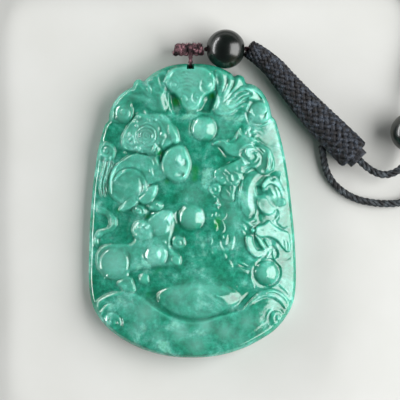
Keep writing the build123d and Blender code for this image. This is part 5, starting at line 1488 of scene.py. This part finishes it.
def thin_cord(name, points, material, node, fibres):
    """A short piece of thin cord, twisted from two strands along a line of points, with some stray fibres."""
    strand = 0.51 * THIN_CORD
    lines = twisted_lines(points, 2, THIN_CORD - strand, THIN_PITCH)
    lines += fuzz_lines(points, fibres, THIN_CORD, THIN_FIBRE_LENGTH * MM)
    radii = [strand * 1.06] * 2 + [THIN_FIBRE_RADIUS * MM] * fibres
    piece = mesh_piece(*strand_mesh(lines, radii, 7))
    return finish_piece(name, piece, material, [node])


def top_knot(material):
    """The wound knot across the plaque's top edge: turns of thick cord round a core, side by side."""
    along = np.linspace(0, 1, KNOT_TURNS * 44 + 1)
    turn = 2 * math.pi * KNOT_TURNS * along + math.pi
    half_y, half_z = KNOT_HALF_HEIGHT - KNOT_CORD, KNOT_HALF_THICKNESS - KNOT_CORD
    square = (np.abs(np.cos(turn)) ** 3 + np.abs(np.sin(turn)) ** 3) ** (-1 / 3)
    wound = np.column_stack([
        (along - 0.5) * (KNOT_WIDTH - 2 * KNOT_CORD), half_y * np.cos(turn) * square,
        half_z * np.sin(turn) * square,
    ])
    points = (KNOT_MIDDLE + wound) * MM
    strand = 0.5 * KNOT_CORD * MM
    lines = twisted_lines(points, 3, strand, KNOT_TWIST * MM)
    fibres = fuzz_lines(points, KNOT_FIBRES, KNOT_CORD * MM, KNOT_FIBRE_LENGTH * MM)
    fibres = [line for line in fibres if line[:, 1].min() > FIBRES_ABOVE * MM]
    radii = [strand * 1.08] * 3 + [FIBRE_RADIUS * MM] * len(fibres)
    ends = np.array([[-KNOT_CORE, 0, 0], [0, 0, 0], [KNOT_CORE, 0, 0]])
    core = strand_mesh([(KNOT_MIDDLE + ends) * MM], [1.0 * MM], 16)
    core[0][:] = KNOT_MIDDLE * MM + (core[0] - KNOT_MIDDLE * MM) * (1.0, 0.9, half_z)
    piece = mesh_piece(*with_core(strand_mesh(lines + fibres, radii, 7), core))
    finish_piece("wound_knot", piece, material, ["top_knot"])


def braid_winding(material):
    """Dark thread wound tightly round the braid's end, over a closed core."""
    start = np.array(WINDING_START) * MM
    heading = math.radians(WINDING_HEADING)
    ahead = np.array([math.cos(heading), math.sin(heading), 0.0])
    across = np.array([-ahead[1], ahead[0], 0.0])
    up = np.array([0.0, 0.0, 1.0])
    share = np.linspace(0, 1, WINDING_TURNS * 36 + 1)
    turn = 2 * math.pi * WINDING_TURNS * share
    run = (WINDING_MARGIN + share * (WINDING_LENGTH - 2 * WINDING_MARGIN))[:, None] * MM
    around = across * np.cos(turn)[:, None] + up * np.sin(turn)[:, None]
    points = start + ahead * run + around * (WINDING_RADIUS - WINDING_THREAD) * MM
    core = start + ahead * (WINDING_CORE[:, None] * MM)
    lines = twisted_lines(points, 2, 0.5 * WINDING_THREAD * MM, WINDING_TWIST * MM) + [core]
    radii = [0.62 * WINDING_THREAD * MM] * 2 + [(WINDING_RADIUS - 1.3 * WINDING_THREAD) * MM]
    piece = mesh_piece(*strand_mesh(lines, radii, 14))
    finish_piece("thread_winding", piece, material, ["braid_whipping"])


bpy.ops.object.select_all(action="DESELECT")
camera()
studio()
floor()

jade = jade_material()
# Each yarn: dark colour, middle colour, the colour of its painted fibre glints, which also tints its sheen,
# ply spacing in millimetres and roughness
knot_yarn = yarn_material("twisted cotton cord, maroon", "080104", "240912", "E6A6B2", 0.15708, 0.75)
winding_thread = yarn_material("waxed winding thread, black", "0B0B0C", "2A2A2E", "8890A0", 0.09425, 0.4)
braid_yarn = yarn_material(
    "braided polyester yarn, maroon black", "040304", "100D12", "596474", 0.15708, 0.62,
)
cord_yarn = yarn_material("twisted polyester cord, black", "060607", "141519", "78848C", 0.14137, 0.55)
bead_gloss = polished_bead_material()

neck_cord(cord_yarn)
braid(braid_yarn)
plaque(jade)
thin_cord("loop_cord", loop_route(), knot_yarn, "hanging_loop", 20)
thin_cord("thread_cord", np.linspace(*THREAD_ENDS, 46) * MM, knot_yarn, "bead_thread", 0)
top_knot(knot_yarn)
braid_winding(winding_thread)
for bead in ("top_bead", "end_bead"):
    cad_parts[bead].data.materials.clear()
    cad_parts[bead].data.materials.append(bead_gloss)
